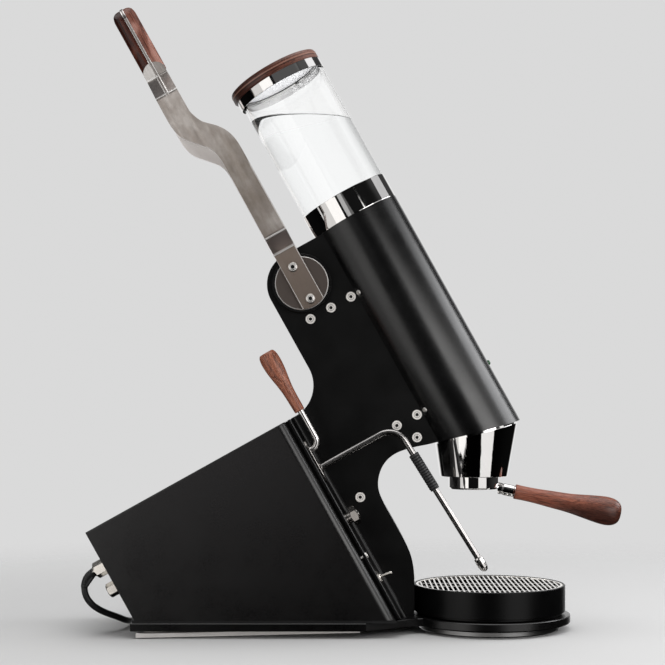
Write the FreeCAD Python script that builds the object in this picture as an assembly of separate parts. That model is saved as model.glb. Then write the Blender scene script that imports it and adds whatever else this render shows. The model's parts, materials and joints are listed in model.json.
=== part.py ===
import FreeCAD, Part
import math
import os

V = FreeCAD.Vector
os.makedirs("parts", exist_ok=True)

# ---------------------------------------------------------------- dimensions
# All in millimetres. The machine is drawn in a design frame: X forward, Y to
# the far side, Z up from the table. SHIFT_X moves the finished pieces so that
# the middle of the whole machine (without its mains lead) is at X = 0.
SHIFT_X = 15.974
TILT = 29.1                 # lean of the barrel from vertical, degrees
AX, AZ = 12.3, 450.1        # top end of the barrel's axis
MITRE = 14.55               # cut of the barrel's lower end, from horizontal
MITRE_Q = -268.0            # where that cut crosses the barrel's axis

BARREL_R, BARREL_RI = 50.0, 47.0
RING_R, RING_TOP = 50.2, 27.0
GLASS_R, GLASS_RI, GLASS_TOP = 49.2, 45.7, 170.6
LID_R, LID_Q0, LID_Q1 = 52.5, 172.4, 183.6
CAP_R, CAP_RI, CAP_Q0 = 51.3, 50.7, 162.2
BARREL_P = -0.7             # barrel's axis in the tilted frame
LID_SLIP = -1.0             # the loose lid has slipped down the slope by its play
WOOD_OFF = -1.4             # the wood overhangs the cap at the back, as a finger grip

SPINE_Y, SPINE_T = 29.0, 6.0
PIV_P, PIV_Q = -87.6, -36.2     # lever pivot in the tilted frame
HUB_R = 28.9
SHAFT_R, SHAFT_BORE = 8.0, 8.05
PINION_R = 14.0                 # pitch radius
GEAR_M, GEAR_Z, GEAR_PA = 2.0, 14, 25.0
LEVER_DEG = 115.0
STROKE = PINION_R * math.radians(LEVER_DEG)

ARM_T = 4.0
TANG_P0, TANG_P1 = -116.8, -113.2
HOUSE_Y, HOUSE_TOP = 83.0, -158.0
HOUSE_P0, HOUSE_P1 = -413.0, -174.4
FACE_P = -168.5                 # outer face of the front panel
WALL = 2.5
PLATE_Z0, PLATE_Z1 = 7.7, 16.2
PAN_Z1 = 19.4

TRAY_X, TRAY_R = 158.4, 83.0
DISC_R, FOOT_R = 88.5, 77.0
GROUP_X, GROUP_Z = 141.5, 166.4
FIT_Y = -56.0                   # line of the steam fittings
CORD_D = 7.0

ct, st = math.cos(math.radians(TILT)), math.sin(math.radians(TILT))
tm = math.tan(math.radians(MITRE))


# ---------------------------------------------------------------- helpers
def W(p, y, q):
    """Point of the tilted frame (p forward, q up the barrel) in the design frame."""
    return V(AX + p * ct - q * st, y, AZ + p * st + q * ct)


def D(p, y, q):
    return V(p * ct - q * st, y, p * st + q * ct)


TILTED = FreeCAD.Placement(V(AX, 0, AZ), FreeCAD.Rotation(V(0, 1, 0), -TILT))


def tilt(shape):
    s = shape.copy()
    s.Placement = TILTED.multiply(s.Placement)
    return s


def xz_face(points, y):
    pts = [V(a, y, b) for a, b in points]
    return Part.Face(Part.makePolygon(pts + [pts[0]]))


def prism(points, y0, y1):
    return xz_face(points, y0).extrude(V(0, y1 - y0, 0))


def box(x0, x1, y0, y1, z0, z1):
    return Part.makeBox(x1 - x0, y1 - y0, z1 - z0, V(x0, y0, z0))


def cyl(r, base, axis, h):
    return Part.makeCylinder(r, h, base, axis)


def revolve(profile, base=V(0, 0, 0), axis=V(0, 0, 1), spline=None):
    """Solid of revolution: profile is a list of (radius, height) in line; with
    spline=(i, j) the points i..j are joined by one smooth curve."""
    pts = [V(r, 0, z) for r, z in profile]
    edges = []
    n = len(pts)
    k = 0
    while k < n:
        if spline and k == spline[0]:
            c = Part.BSplineCurve()
            c.interpolate(pts[spline[0]:spline[1] + 1])
            edges.append(c.toShape())
            k = spline[1]
            continue
        a, b = pts[k], pts[(k + 1) % n]
        if (b - a).Length > 1e-6:
            edges.append(Part.makeLine(a, b))
        k += 1
    s = Part.Face(Part.Wire(edges)).revolve(V(0, 0, 0), V(0, 0, 1), 360)
    s.Placement = FreeCAD.Placement(base, FreeCAD.Rotation(V(0, 0, 1), axis))
    return s


def hexagon(af, base, axis, h):
    """Hexagonal bar with its outer corners turned to a chamfer."""
    r = af / math.sqrt(3.0)
    pts = [V(r * math.cos(math.radians(60 * i)), r * math.sin(math.radians(60 * i)), 0) for i in range(7)]
    b = Part.Face(Part.makePolygon(pts)).extrude(V(0, 0, h))
    c = revolve([(0, 0), (r, 0), (r, h - 1.2), (r - 1.6, h), (0, h)])
    s = b.common(c)
    s.Placement = FreeCAD.Placement(base, FreeCAD.Rotation(V(0, 0, 1), axis))
    return s


def rounded_route(points, radii_out=None):
    """Wire of straight runs joined by tangent arcs; each arc's radius is
    0.45 of the shorter run over the tangent of half the turn."""
    pts = [V(*p) for p in points]
    edges, last = [], pts[0]
    for i in range(1, len(pts) - 1):
        a, b, c = pts[i - 1], pts[i], pts[i + 1]
        u, w = (a - b), (c - b)
        la, lc = u.Length, w.Length
        u.normalize()
        w.normalize()
        turn = math.pi - math.acos(max(-1, min(1, u.dot(w))))
        cut = 0.45 * min(la, lc)
        r = cut / math.tan(turn / 2)
        if radii_out is not None:
            radii_out.append((round(r, 1), round(math.degrees(turn), 1), round(la, 1)))
        t0, t1 = b + u * cut, b + w * cut
        bis = (u + w)
        bis.normalize()
        centre = b + bis * (r / math.cos(turn / 2))
        mid = centre + (b - centre).normalize() * r
        edges.append(Part.LineSegment(last, t0).toShape())
        edges.append(Part.Arc(t0, mid, t1).toShape())
        last = t1
    edges.append(Part.LineSegment(last, pts[-1]).toShape())
    return Part.Wire(edges)


def bent(points, radius):
    """Wire through points with one fillet radius at every corner."""
    pts = [V(*p) for p in points]
    edges, last = [], pts[0]
    for i in range(1, len(pts) - 1):
        a, b, c = pts[i - 1], pts[i], pts[i + 1]
        u, w = (a - b), (c - b)
        u.normalize()
        w.normalize()
        turn = math.pi - math.acos(max(-1, min(1, u.dot(w))))
        cut = radius * math.tan(turn / 2)
        t0, t1 = b + u * cut, b + w * cut
        bis = u + w
        bis.normalize()
        centre = b + bis * (radius / math.cos(turn / 2))
        mid = centre + (b - centre).normalize() * radius
        edges.append(Part.LineSegment(last, t0).toShape())
        edges.append(Part.Arc(t0, mid, t1).toShape())
        last = t1
    edges.append(Part.LineSegment(last, pts[-1]).toShape())
    return Part.Wire(edges)


def tube(wire, r):
    e = wire.Edges[0]
    start = e.valueAt(e.FirstParameter)
    d = e.tangentAt(e.FirstParameter)
    prof = Part.Wire([Part.Circle(start, d, r).toShape()])
    return wire.makePipeShell([prof], True, False)


def chamfer_if(shape, size, pick):
    edges = [e for e in shape.Edges if pick(e)]
    return shape.makeChamfer(size, edges) if edges else shape


def fillet_if(shape, size, pick):
    edges = [e for e in shape.Edges if pick(e)]
    return shape.makeFillet(size, edges) if edges else shape


def axial(shape):
    """As tilt, for pieces turned about the barrel's own axis."""
    s = shape.copy()
    s.translate(V(BARREL_P, 0, 0))
    return tilt(s)


BIG = 900.0
above_pan = box(-BIG, BIG, -BIG, BIG, PAN_Z1, BIG)
above_plate = box(-BIG, BIG, -BIG, BIG, PLATE_Z1, BIG)
# everything below the mitre plane, in the tilted frame
below_mitre = prism([(-90, MITRE_Q + 90 * tm), (90, MITRE_Q - 90 * tm), (90, -460), (-90, -460)], -90, 90)

nodes = {}


def put(name, shape):
    nodes[name] = shape


# ---------------------------------------------------------------- base
def plate_outline(z0, z1, inset=0.0):
    i = inset
    rear = Part.Face(Part.makePolygon([V(-225 + i, -HOUSE_Y + i, z0), V(22 - i, -HOUSE_Y + i, z0), V(78, -46 + i, z0),
                                       V(78, 46 - i, z0), V(22 - i, HOUSE_Y - i, z0), V(-225 + i, HOUSE_Y - i, z0),
                                       V(-225 + i, -HOUSE_Y + i, z0)])).extrude(V(0, 0, z1 - z0))
    neck = box(70, TRAY_X, -46 + i, 46 - i, z0, z1)
    disc = cyl(DISC_R - i, V(TRAY_X, 0, z0), V(0, 0, 1), z1 - z0)
    return rear.fuse(neck).fuse(disc).removeSplitter()


base = plate_outline(PLATE_Z0, PLATE_Z1)
base = chamfer_if(base, 0.7, lambda e: e.BoundBox.ZMin > PLATE_Z1 - 0.01 or e.BoundBox.ZMax < PLATE_Z0 + 0.01)
put("base_plate", base)


def foot_rear():
    low = Part.Face(Part.makePolygon([V(-219, -HOUSE_Y, 0.6), V(16, -47, 0.6), V(16, 47, 0.6), V(-219, HOUSE_Y, 0.6),
                                      V(-219, -HOUSE_Y, 0.6)])).extrude(V(0, 0, 5.3))
    low = chamfer_if(low, 0.5, lambda e: e.BoundBox.ZMin > 5.8 or e.BoundBox.ZMax < 0.7)
    up = Part.Face(Part.makePolygon([V(-211, -74, 5.9), V(8, -40, 5.9), V(8, 40, 5.9), V(-211, 74, 5.9),
                                     V(-211, -74, 5.9)])).extrude(V(0, 0, PLATE_Z0 - 5.9))
    s = low.fuse(up)
    for x, y in REAR_PADS:
        s = s.cut(cyl(9.1, V(x, y, 0), V(0, 0, 1), 3.4))
    return s


def foot_front():
    s = revolve([(0, 0.6), (FOOT_R - 0.6, 0.6), (FOOT_R, 1.2), (FOOT_R, 5.3), (FOOT_R - 0.6, 5.9), (69, 5.9),
                 (69, PLATE_Z0), (0, PLATE_Z0)], V(TRAY_X, 0, 0))
    for x, y in FRONT_PADS:
        s = s.cut(cyl(9.1, V(x, y, 0), V(0, 0, 1), 3.4))
    return s


REAR_PADS = [(-203, -68), (-203, 68), (-2, -38), (-2, 38)]
FRONT_PADS = [(TRAY_X + 64 * math.cos(math.radians(a)), 64 * math.sin(math.radians(a))) for a in (0, 110, 250)]
put("metal_feet", Part.makeCompound([foot_rear(), foot_front()]))
put("foot_pads", Part.makeCompound([revolve([(0, 0), (8.4, 0), (9, 0.5), (9, 3.4), (0, 3.4)], V(x, y, 0)) for x, y in REAR_PADS + FRONT_PADS]))

# ---------------------------------------------------------------- housing
pan = box(-223.4, 60, -HOUSE_Y + 1.0, HOUSE_Y - 1.0, PLATE_Z1, PAN_Z1)
front_cut = tilt(box(HOUSE_P1 + 0.0, 200, -200, 200, -700, 200))
pan = pan.cut(front_cut).cut(box(-20, 120, -29.4, 29.4, 0, 60))
put("bottom_pan", pan)

outer = box(HOUSE_P0, HOUSE_P1, -HOUSE_Y, HOUSE_Y, -480, HOUSE_TOP)
outer = fillet_if(outer, 9.0, lambda e: abs(e.BoundBox.XMin - HOUSE_P1) < 0.01 and abs(e.BoundBox.XMax - HOUSE_P1) < 0.01
                  and e.BoundBox.ZLength > 100)
outer = fillet_if(outer, 1.6, lambda e: e.BoundBox.ZMin > HOUSE_TOP - 0.01 and e.BoundBox.XLength > 100)
inner = box(HOUSE_P0 - 10, HOUSE_P1 - WALL, -HOUSE_Y + WALL, HOUSE_Y - WALL, -500, HOUSE_TOP - WALL)
inner = fillet_if(inner, 6.5, lambda e: abs(e.BoundBox.XMin - HOUSE_P1 + WALL) < 0.01 and abs(e.BoundBox.XMax - HOUSE_P1 + WALL) < 0.01
                  and e.BoundBox.ZLength > 100)
shell = outer.cut(inner).cut(box(HOUSE_P1 - 10, HOUSE_P1 + 10, -66, 66, -500, HOUSE_TOP - 12))
PANEL_SCREW = (69.0, -322.8)    # Y and q of the two screws that hold the front panel
for sy in (-1, 1):
    shell = shell.cut(cyl(1.65, V(-190, sy * PANEL_SCREW[0], PANEL_SCREW[1]), V(1, 0, 0), 40))
shell = tilt(shell).common(above_pan)
put("housing_shell", shell)

rear = box(HOUSE_P0, HOUSE_P0 + 3, -HOUSE_Y + WALL + 0.2, HOUSE_Y - WALL - 0.2, -480, HOUSE_TOP - WALL - 0.2)
for py, pq, pr in ((-50, -199, 6.5), (-50, -224.5, 5.6)):
    rear = rear.cut(cyl(pr, V(HOUSE_P0 - 5, py, pq), V(1, 0, 0), 12))
put("rear_panel", tilt(rear).common(above_pan))

VALVE_Q, WAND_Q, HEX_Q, TOG_Q = -197.8, -219.0, -280.8, -351.0
ROD_R, WAND_R = 3.5, 3.4       # steam lever rod and wand tube
face = box(FACE_P - 3, FACE_P, -73, 73, -480, HOUSE_TOP - 0.2)
face = chamfer_if(face, 0.6, lambda e: abs(e.BoundBox.XMin - FACE_P) < 0.01 and abs(e.BoundBox.XMax - FACE_P) < 0.01)
step = box(HOUSE_P1, FACE_P - 3, -68, 68, -480, HOUSE_TOP - 0.8)
panel = face.fuse(step).cut(box(-180, -160, -29.3, 29.3, -500, HOUSE_TOP - 12.5))
for q, r in ((VALVE_Q, 4.8), (WAND_Q, 6.0), (HEX_Q, 6.2), (TOG_Q, 6.0)):
    panel = panel.cut(cyl(r, V(-190, FIT_Y, q), V(1, 0, 0), 40))
for sy in (-1, 1):
    panel = panel.cut(cyl(1.65, V(-190, sy * PANEL_SCREW[0], PANEL_SCREW[1]), V(1, 0, 0), 40))
panel = tilt(panel).common(box(-BIG, BIG, -BIG, BIG, PAN_Z1 + 0.3, BIG))
put("front_panel", panel)

# boiler lying across the housing, with two welded feet and an electric element
BC_P, BC_Q, BC_R = -292.0, -246.0, 50.0
bc = W(BC_P, 0, BC_Q)
ves = revolve([(0, -68), (BC_R - 9, -68), (BC_R, -59), (BC_R, 59), (BC_R - 9, 68), (0, 68)], V(bc.x, 0, bc.z), V(0, 1, 0))
ves_i = revolve([(0, -66), (BC_R - 10, -66), (BC_R - 2, -58), (BC_R - 2, 58), (BC_R - 10, 66), (0, 66)], V(bc.x, 0, bc.z), V(0, 1, 0))
feet = [box(bc.x - 40, bc.x + 40, y - 3, y + 3, PAN_Z1, bc.z - 18).cut(cyl(BC_R - 0.5, V(bc.x, -90, bc.z), V(0, 1, 0), 180)) for y in (-44, 44)]
ves = ves.fuse(feet).cut(ves_i).cut(cyl(15, V(bc.x, 60, bc.z), V(0, 1, 0), 20))
put("boiler_vessel", ves)
el = revolve([(0, 68), (21, 68), (22, 69), (22, 73), (21, 74), (0, 74)], V(bc.x, 0, bc.z), V(0, 1, 0))
loop = bent([(bc.x - 9, 66, bc.z), (bc.x - 9, -40, bc.z), (bc.x + 9, -40, bc.z), (bc.x + 9, 66, bc.z)], 8.9)
el = el.fuse(tube(loop, 3.6)).fuse(cyl(14.8, V(bc.x, 60, bc.z), V(0, 1, 0), 9))
put("heating_element", el)

vb = box(-200, -176.5, FIT_Y - 11, FIT_Y + 11, -233, -183)
vb = fillet_if(vb, 3.0, lambda e: True)
vb = vb.fuse(cyl(4.5, V(-178, FIT_Y, VALVE_Q), V(1, 0, 0), 9.3)).fuse(cyl(5.7, V(-178, FIT_Y, WAND_Q), V(1, 0, 0), 9.3))
vb = vb.fuse(cyl(5.0, V(-240, FIT_Y, WAND_Q), V(1, 0, 0), 45))
vb = vb.cut(cyl(ROD_R + 0.1, V(-190, FIT_Y, VALVE_Q), V(1, 0, 0), 40)).cut(cyl(WAND_R + 0.06, V(-190, FIT_Y, WAND_Q), V(1, 0, 0), 40))
put("steam_valve_body", tilt(vb))

# ---------------------------------------------------------------- spine
def arc3(c, r, a0, a1, y):
    def pt(a):
        return V(c[0] + r * math.cos(math.radians(a)), y, c[1] + r * math.sin(math.radians(a)))
    return Part.Arc(pt(a0), pt((a0 + a1) / 2.0), pt(a1)).toShape()


def to_pq(x, z):
    dx, dz = x - AX, z - AZ
    return (dx * ct + dz * st, -dx * st + dz * ct)


LOWER = [(75.1, 54.2), (73.8, 70.8), (70.4, 84.6), (64.1, 98.3), (50.4, 123.2), (40.0, 142.5), (35.9, 156.5),
         (37.2, 169.8), (42.4, 181.2), (51.8, 190.4), (63.9, 196.0), (80.0, 200.2), (104.0, 205.6)]


def spine_face(y):
    """Side outline of the spine in the tilted frame at the given Y."""
    e = []
    e.append(Part.makeLine(V(-38, y, 0), V(-89.5, y, 0)))
    e.append(arc3((-89.5, -36.0), 36.0, 90, 180, y))
    e.append(Part.makeLine(V(-125.5, y, -36), V(-125.5, y, -120)))
    e.append(arc3((-163.5, -120.0), 38.0, 0, -88.5, y))
    x1, z1 = -163.5 + 38 * math.cos(math.radians(-88.5)), -120 + 38 * math.sin(math.radians(-88.5))
    e.append(Part.makeLine(V(x1, y, z1), V(x1, y, -173.2)))
    e.append(Part.makeLine(V(x1, y, -173.2), V(-232, y, -173.2)))
    # foot, down to the base plate
    q_b = (PLATE_Z1 - AZ + 232 * st) / ct
    e.append(Part.makeLine(V(-232, y, -173.2), V(-232, y, q_b)))
    f = to_pq(75.1, PLATE_Z1)
    e.append(Part.makeLine(V(-232, y, q_b), V(f[0], y, f[1])))
    g = to_pq(*LOWER[0])
    e.append(Part.makeLine(V(f[0], y, f[1]), V(g[0], y, g[1])))
    pts = [V(to_pq(*c)[0], y, to_pq(*c)[1]) for c in LOWER]
    c = Part.BSplineCurve()
    d0 = D_inv(0, 1)
    d1 = D_inv(0.968, 0.25)
    c.interpolate(Points=pts, InitialTangent=V(d0[0], 0, d0[1]), FinalTangent=V(d1[0], 0, d1[1]))
    e.append(c.toShape())
    h = pts[-1]
    e.append(Part.makeLine(h, V(-38, y, 0)))
    return Part.Face(Part.Wire(e))


def D_inv(dx, dz):
    return (dx * ct + dz * st, -dx * st + dz * ct)


barrel_solid = cyl(BARREL_R + 0.02, V(BARREL_P, 0, -330), V(0, 0, 1), 360)
SCREWS = [to_pq(x, z) for x, z in ((-37.3, 337.6), (-15.2, 349.9), (6.4, 361.7), (56.1, 222.4), (77.9, 234.1), (77.9, 209.6), (16.5, 144.9))]
FLANK = [to_pq(15.4, 366.4), to_pq(86.8, 239.7)]


def spine_plate(sign):
    y0, y1 = SPINE_Y - SPINE_T, SPINE_Y
    f = spine_face(sign * y0)
    s = f.extrude(V(0, sign * (y1 - y0), 0))
    # mounting flange in front of the housing's face
    a, b = sorted((sign * (SPINE_Y - 1), sign * 38.0))
    fl = box(FACE_P + 0.05, -162.6, a, b, -480, -120 - 38 * math.sin(math.radians(88.5)))
    fl = fillet_if(fl, 4.0, lambda e: abs(e.BoundBox.XMin + 162.6) < 0.01 and abs(e.BoundBox.XMax + 162.6) < 0.01
                   and abs(e.BoundBox.YMin - sign * 38.0) < 0.01 and abs(e.BoundBox.YMax - sign * 38.0) < 0.01)
    s = s.fuse(fl)
    s = s.cut(barrel_solid)
    # seat of the pivot bearing
    s = s.cut(cyl(12.0, V(PIV_P, -60, PIV_Q), V(0, 1, 0), 120))
    for p, q in SCREWS:
        s = s.cut(cyl(3.05, V(p, -60, q), V(0, 1, 0), 120))
        s = s.cut(revolve([(0, -0.5), (5.62, -0.5), (5.62, 0.66), (3.05, 3.23), (0, 3.23)], V(p, sign * SPINE_Y, q), V(0, -sign, 0)))
    s = tilt(s).common(above_plate)
    return s


put("spine_plate_near", spine_plate(-1))
put("spine_plate_far", spine_plate(1))

# cover strips along the open edges of the spine, between its two plates
full = spine_face(-SPINE_Y + SPINE_T + 0.1)
inner_f = full.makeOffset2D(-2.4)
strip = full.cut(inner_f).extrude(V(0, 2 * (SPINE_Y - SPINE_T - 0.1), 0))
rear_zone = box(-140, -52.5, -40, 40, -162, 5).fuse(box(-172, -120, -40, 40, -172, -100))
rear_cover = strip.common(rear_zone).cut(box(-60, -30, -60, 60, -300, -6))
put("spine_rear_cover", tilt(rear_cover))
lower = Part.BSplineCurve()
lower.interpolate(Points=[V(x, 0, z) for x, z in LOWER], InitialTangent=V(0, 0, 1), FinalTangent=V(0.968, 0, 0.25))
outer_pts, inner_pts = [], []
for i in range(31):
    u = lower.FirstParameter + (lower.LastParameter - lower.FirstParameter) * 0.95 * i / 30.0
    pt, tg = lower.value(u), lower.tangent(u)[0]
    outer_pts.append(V(pt.x, -22.9, pt.z))
    inner_pts.append(V(pt.x - tg.z * 2.4, -22.9, pt.z + tg.x * 2.4))


def smooth(points):
    c = Part.BSplineCurve()
    c.interpolate(points)
    return c.toShape()


low_z = PLATE_Z1 + 0.2
loop = [Part.makeLine(V(75.1, -22.9, low_z), outer_pts[0]), smooth(outer_pts), Part.makeLine(outer_pts[-1], inner_pts[-1]), smooth(inner_pts),
        Part.makeLine(inner_pts[0], V(72.7, -22.9, low_z)), Part.makeLine(V(72.7, -22.9, low_z), V(75.1, -22.9, low_z))]
front_cover = Part.Face(Part.Wire(loop)).extrude(V(0, 45.8, 0))
put("spine_front_cover", front_cover.cut(axial(cyl(BARREL_R + 0.3, V(0, 0, -330), V(0, 0, 1), 360))))

# blocks and rods between the plates, clear of the rack
blk = []
for s in (-1, 1):
    a, b = sorted((s * 11.0, s * (SPINE_Y - SPINE_T)))
    bb = box(-105, -38, a, b, -81, -67)
    blk.append(bb.cut(barrel_solid))
tri = prism([(-82, -212), (-38, -212), (-38, -250), (-60, -250), (-82, -228)], -SPINE_Y + SPINE_T, SPINE_Y - SPINE_T).cut(barrel_solid)
blk.append(tri)
blk.append(cyl(8, V(SCREWS[6][0], -SPINE_Y + SPINE_T, SCREWS[6][1]), V(0, 1, 0), 2 * (SPINE_Y - SPINE_T)))
blk.append(cyl(8, V(-205, -SPINE_Y + SPINE_T, -215), V(0, 1, 0), 2 * (SPINE_Y - SPINE_T)))
for i in range(len(blk)):
    for p, q in SCREWS:
        blk[i] = blk[i].cut(cyl(3.05, V(p, -60, q), V(0, 1, 0), 120))
put("spine_spacers", Part.makeCompound([tilt(b).cut(front_cover) for b in blk]))


def flat_screw(p, q, sign):
    """Countersunk M6 screw with a hexagon socket; head flush with the plate."""
    h = revolve([(0, 0), (5.2, 0), (5.55, 0.3), (5.55, 0.6), (3.0, 3.1), (3.0, 17.5), (0, 17.5)], V(p, sign * SPINE_Y, q), V(0, -sign, 0))
    return h.cut(hexsock(3.4, 2.4, V(p, sign * (SPINE_Y + 0.01), q), V(0, -sign, 0)))


def hexsock(af, depth, base, axis):
    r = af / math.sqrt(3.0)
    pts = [V(r * math.cos(math.radians(60 * i)), r * math.sin(math.radians(60 * i)), 0) for i in range(7)]
    b = Part.Face(Part.makePolygon(pts)).extrude(V(0, 0, depth))
    b.Placement = FreeCAD.Placement(base, FreeCAD.Rotation(V(0, 0, 1), axis))
    return b


clear_barrel = cyl(BARREL_R + 0.35, V(BARREL_P, 0, -330), V(0, 0, 1), 360)
screws = [tilt(flat_screw(p, q, s).cut(clear_barrel)) for s in (-1, 1) for p, q in SCREWS]
for s in (-1, 1):
    for p, q in FLANK:
        y = s * math.sqrt(BARREL_R ** 2 - p ** 2)
        n = V(p, y, 0).normalize()
        base_pt = V(p, y, q) - n * 0.4
        g = revolve([(0, 0), (2.9, 0), (2.9, 0.9), (2.3, 1.7), (0, 1.9)], base_pt, n)
        g = g.cut(hexsock(2.0, 1.2, base_pt + n * 0.9, n))
        screws.append(axial(g))
for s in (-1, 1):
    base_pt = V(FACE_P + 0.02, s * PANEL_SCREW[0], PANEL_SCREW[1])
    g = revolve([(0, -9.0), (1.6, -9.0), (1.6, 0), (3.6, 0), (3.5, 0.9), (2.6, 1.8), (0, 2.0)], base_pt, V(1, 0, 0))
    screws.append(tilt(g.cut(hexsock(2.5, 1.4, base_pt + V(0.7, 0, 0), V(1, 0, 0)))))
put("chassis_screws", Part.makeCompound(screws))

# ---------------------------------------------------------------- barrel
b = cyl(BARREL_R, V(0, 0, -300), V(0, 0, 1), 300).cut(cyl(BARREL_RI, V(0, 0, -310), V(0, 0, 1), 320)).cut(below_mitre)
b = b.cut(box(-62, -36, -7.2, 7.2, -160.5, -105.5))
b = b.cut(cyl(3.05, V(30, 0, -209.5), V(1, 0, 0), 30))
for s in (-1, 1):
    for p, q in FLANK:
        n = V(p, s * math.sqrt(BARREL_R ** 2 - p ** 2), 0).normalize()
        b = b.cut(cyl(3.0, n * (BARREL_R - 0.42) + V(0, 0, q), n, 6))
put("barrel_shell", axial(b))
put("indicator_lamp", axial(revolve([(0, 45), (3.0, 45), (3.0, 50.0), (2.7, 51.3), (1.7, 52.3), (0, 52.7)], V(0, 0, -209.5), V(1, 0, 0))))

cy = revolve([(29.05, -243.5), (29.05, -165), (46.9, -165), (46.9, -172), (33, -172), (33, -243), (44, -243), (44, -250), (8, -250), (8, -243.5)])
put("brew_cylinder", axial(cy))

# ---------------------------------------------------------------- group head
mrot = FreeCAD.Placement(W(BARREL_P, 0, MITRE_Q), FreeCAD.Rotation(V(0, 1, 0), -MITRE))
# local frame of the mitre: x along the cut, z its normal (up and back)
top_c = mrot.multVec(V(1.6, 0, -2.4))
nrm = mrot.Rotation.multVec(V(0, 0, 1))
c_top = Part.Wire([Part.Circle(top_c, nrm, 46.4).toShape()])
c_bot = Part.Wire([Part.Circle(V(GROUP_X, 0, GROUP_Z), V(0, 0, 1), 36.9).toShape()])
cone = Part.makeLoft([c_bot, c_top], True, True)
cone = fillet_if(cone, 0.8, lambda e: e.BoundBox.ZMax < GROUP_Z + 0.01)
neck = cyl(44.6, mrot.multVec(V(1.0, 0, -3.0)), nrm, 3.0)
head = cone.fuse(neck)
head = head.cut(cyl(33.0, V(GROUP_X, 0, 169.2), V(0, 0, 1), 17.6)).cut(cyl(29.9, V(GROUP_X, 0, 160), V(0, 0, 1), 12))
EAR = 29.0


def sector(r, a0, a1, z0, z1):
    pts = [V(GROUP_X, 0, z0)] + [V(GROUP_X + 2 * r * math.cos(math.radians(a)), 2 * r * math.sin(math.radians(a)), z0)
                                 for a in (a0, (a0 + a1) / 2.0, a1)]
    w = Part.Face(Part.makePolygon(pts + [pts[0]])).extrude(V(0, 0, z1 - z0))
    return w.common(cyl(r, V(GROUP_X, 0, z0), V(0, 0, 1), z1 - z0))


for a in (45, 225):
    head = head.cut(sector(33.0, a - EAR - 3, a + EAR + 3, 160, 172))
wt = V(W(0, 0, -262).x, 0, W(0, 0, -262).z)
head = head.cut(cyl(6.0, V(GROUP_X, 0, 180), V(0, 0, 1), 28)).cut(axial(cyl(6.0, V(0, 0, -285), V(0, 0, 1), 30)))
put("group_head", head)
put("group_gasket", revolve([(25.5, 178.9), (32.6, 178.9), (32.9, 186.7), (25.5, 186.7)], V(GROUP_X, 0, 0)))
sc = revolve([(0, 184.6), (25.3, 184.6), (25.3, 186.6), (0, 186.6)], V(GROUP_X, 0, 0))
holes = []
for ring_r, n in ((5, 6), (10, 12), (15, 18), (20, 24)):
    for i in range(n):
        a = 2 * math.pi * i / n
        holes.append(cyl(0.9, V(GROUP_X + ring_r * math.cos(a), ring_r * math.sin(a), 184), V(0, 0, 1), 3))
put("shower_screen", sc.cut(Part.makeCompound(holes)))

# ---------------------------------------------------------------- portafilter
pf = revolve([(24.0, 152.6), (26.0, 152.6), (27.5, 154.4), (27.5, 166.9), (28.9, 168.6), (28.9, 176.6), (26.2, 176.6), (26.2, 156.4), (24.0, 155.4)], V(GROUP_X, 0, 0))
ears = [sector(32.6, a - EAR, a + EAR, 172.4, 176.6).cut(cyl(27.5, V(GROUP_X, 0, 160), V(0, 0, 1), 30)) for a in (90, 270)]
pf = pf.fuse(ears)
HX, HZ, HANG = 168.5, 153.2, -12.0
hd = V(math.cos(math.radians(HANG)), 0, math.sin(math.radians(HANG)))
hu = V(-hd.z, 0, hd.x)
boss = cyl(6.4, V(HX - 2.6, 0, HZ + 0.55), hd, 6.4).cut(cyl(26.3, V(GROUP_X, 0, 140), V(0, 0, 1), 40))
pf = pf.fuse(boss)
put("portafilter_body", pf)
bk = revolve([(0, 157.2), (22.5, 157.2), (24.6, 159.4), (25.7, 176.75), (31.6, 176.75), (31.9, 177.1), (31.6, 177.5), (25.0, 177.5), (23.8, 160.2), (22.0, 158.1), (0, 158.1)], V(GROUP_X, 0, 0))
holes = []
for ring_r, n in ((5, 8), (10, 16), (15, 22), (19.5, 28)):
    for i in range(n):
        a = 2 * math.pi * i / n
        holes.append(cyl(0.6, V(GROUP_X + ring_r * math.cos(a), ring_r * math.sin(a), 156.5), V(0, 0, 1), 2.5))
bk = bk.cut(Part.makeCompound(holes))
put("portafilter_basket", bk)
fe = revolve([(0, 0), (5.9, 0), (5.9, 0.7), (6.6, 1.3), (6.6, 12.6), (6.0, 13.4), (6.0, 14.4), (0, 14.4)], V(HX, 0, HZ) + hd * 4.0, hd)
put("portafilter_ferrule", fe)
PH = [(0, 18.4), (7.6, 18.4), (8.15, 19.2), (7.9, 26), (7.95, 36), (8.5, 48), (9.3, 60), (10.6, 80), (12.2, 92), (13.8, 103), (15.2, 114), (15.6, 121), (14.9, 127.5),
      (12.8, 132.6), (9.5, 135.8), (7.5, 136.6), (0, 136.9)]
put("portafilter_handle", revolve(PH, V(HX, 0, HZ), hd, spline=(2, 15)))

# ---------------------------------------------------------------- tank
ring = revolve([(49.25, 0), (49.25, RING_TOP), (50.1, RING_TOP), (RING_R, RING_TOP - 0.4), (RING_R, 0.4), (50.1, 0)])
put("tank_ring", axial(ring))
floor_disc = revolve([(5, 3), (5, 7.95), (49.2, 7.95), (49.2, 0.05), (46.8, 0.05), (46.8, -9), (42, -9), (42, 3)])
put("tank_floor", axial(floor_disc))
glass = revolve([(GLASS_RI, 8), (GLASS_R, 8), (GLASS_R, GLASS_TOP - 0.9), (GLASS_R - 0.9, GLASS_TOP), (GLASS_RI + 0.9, GLASS_TOP), (GLASS_RI, GLASS_TOP - 0.9)])
put("tank_glass", axial(glass))
cap = revolve([(0, LID_Q0 - 1.2), (0, LID_Q0), (CAP_R, LID_Q0), (CAP_R, CAP_Q0 + 0.3), (CAP_R - 0.3, CAP_Q0), (CAP_RI, CAP_Q0), (CAP_RI, LID_Q0 - 1.2)])
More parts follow.
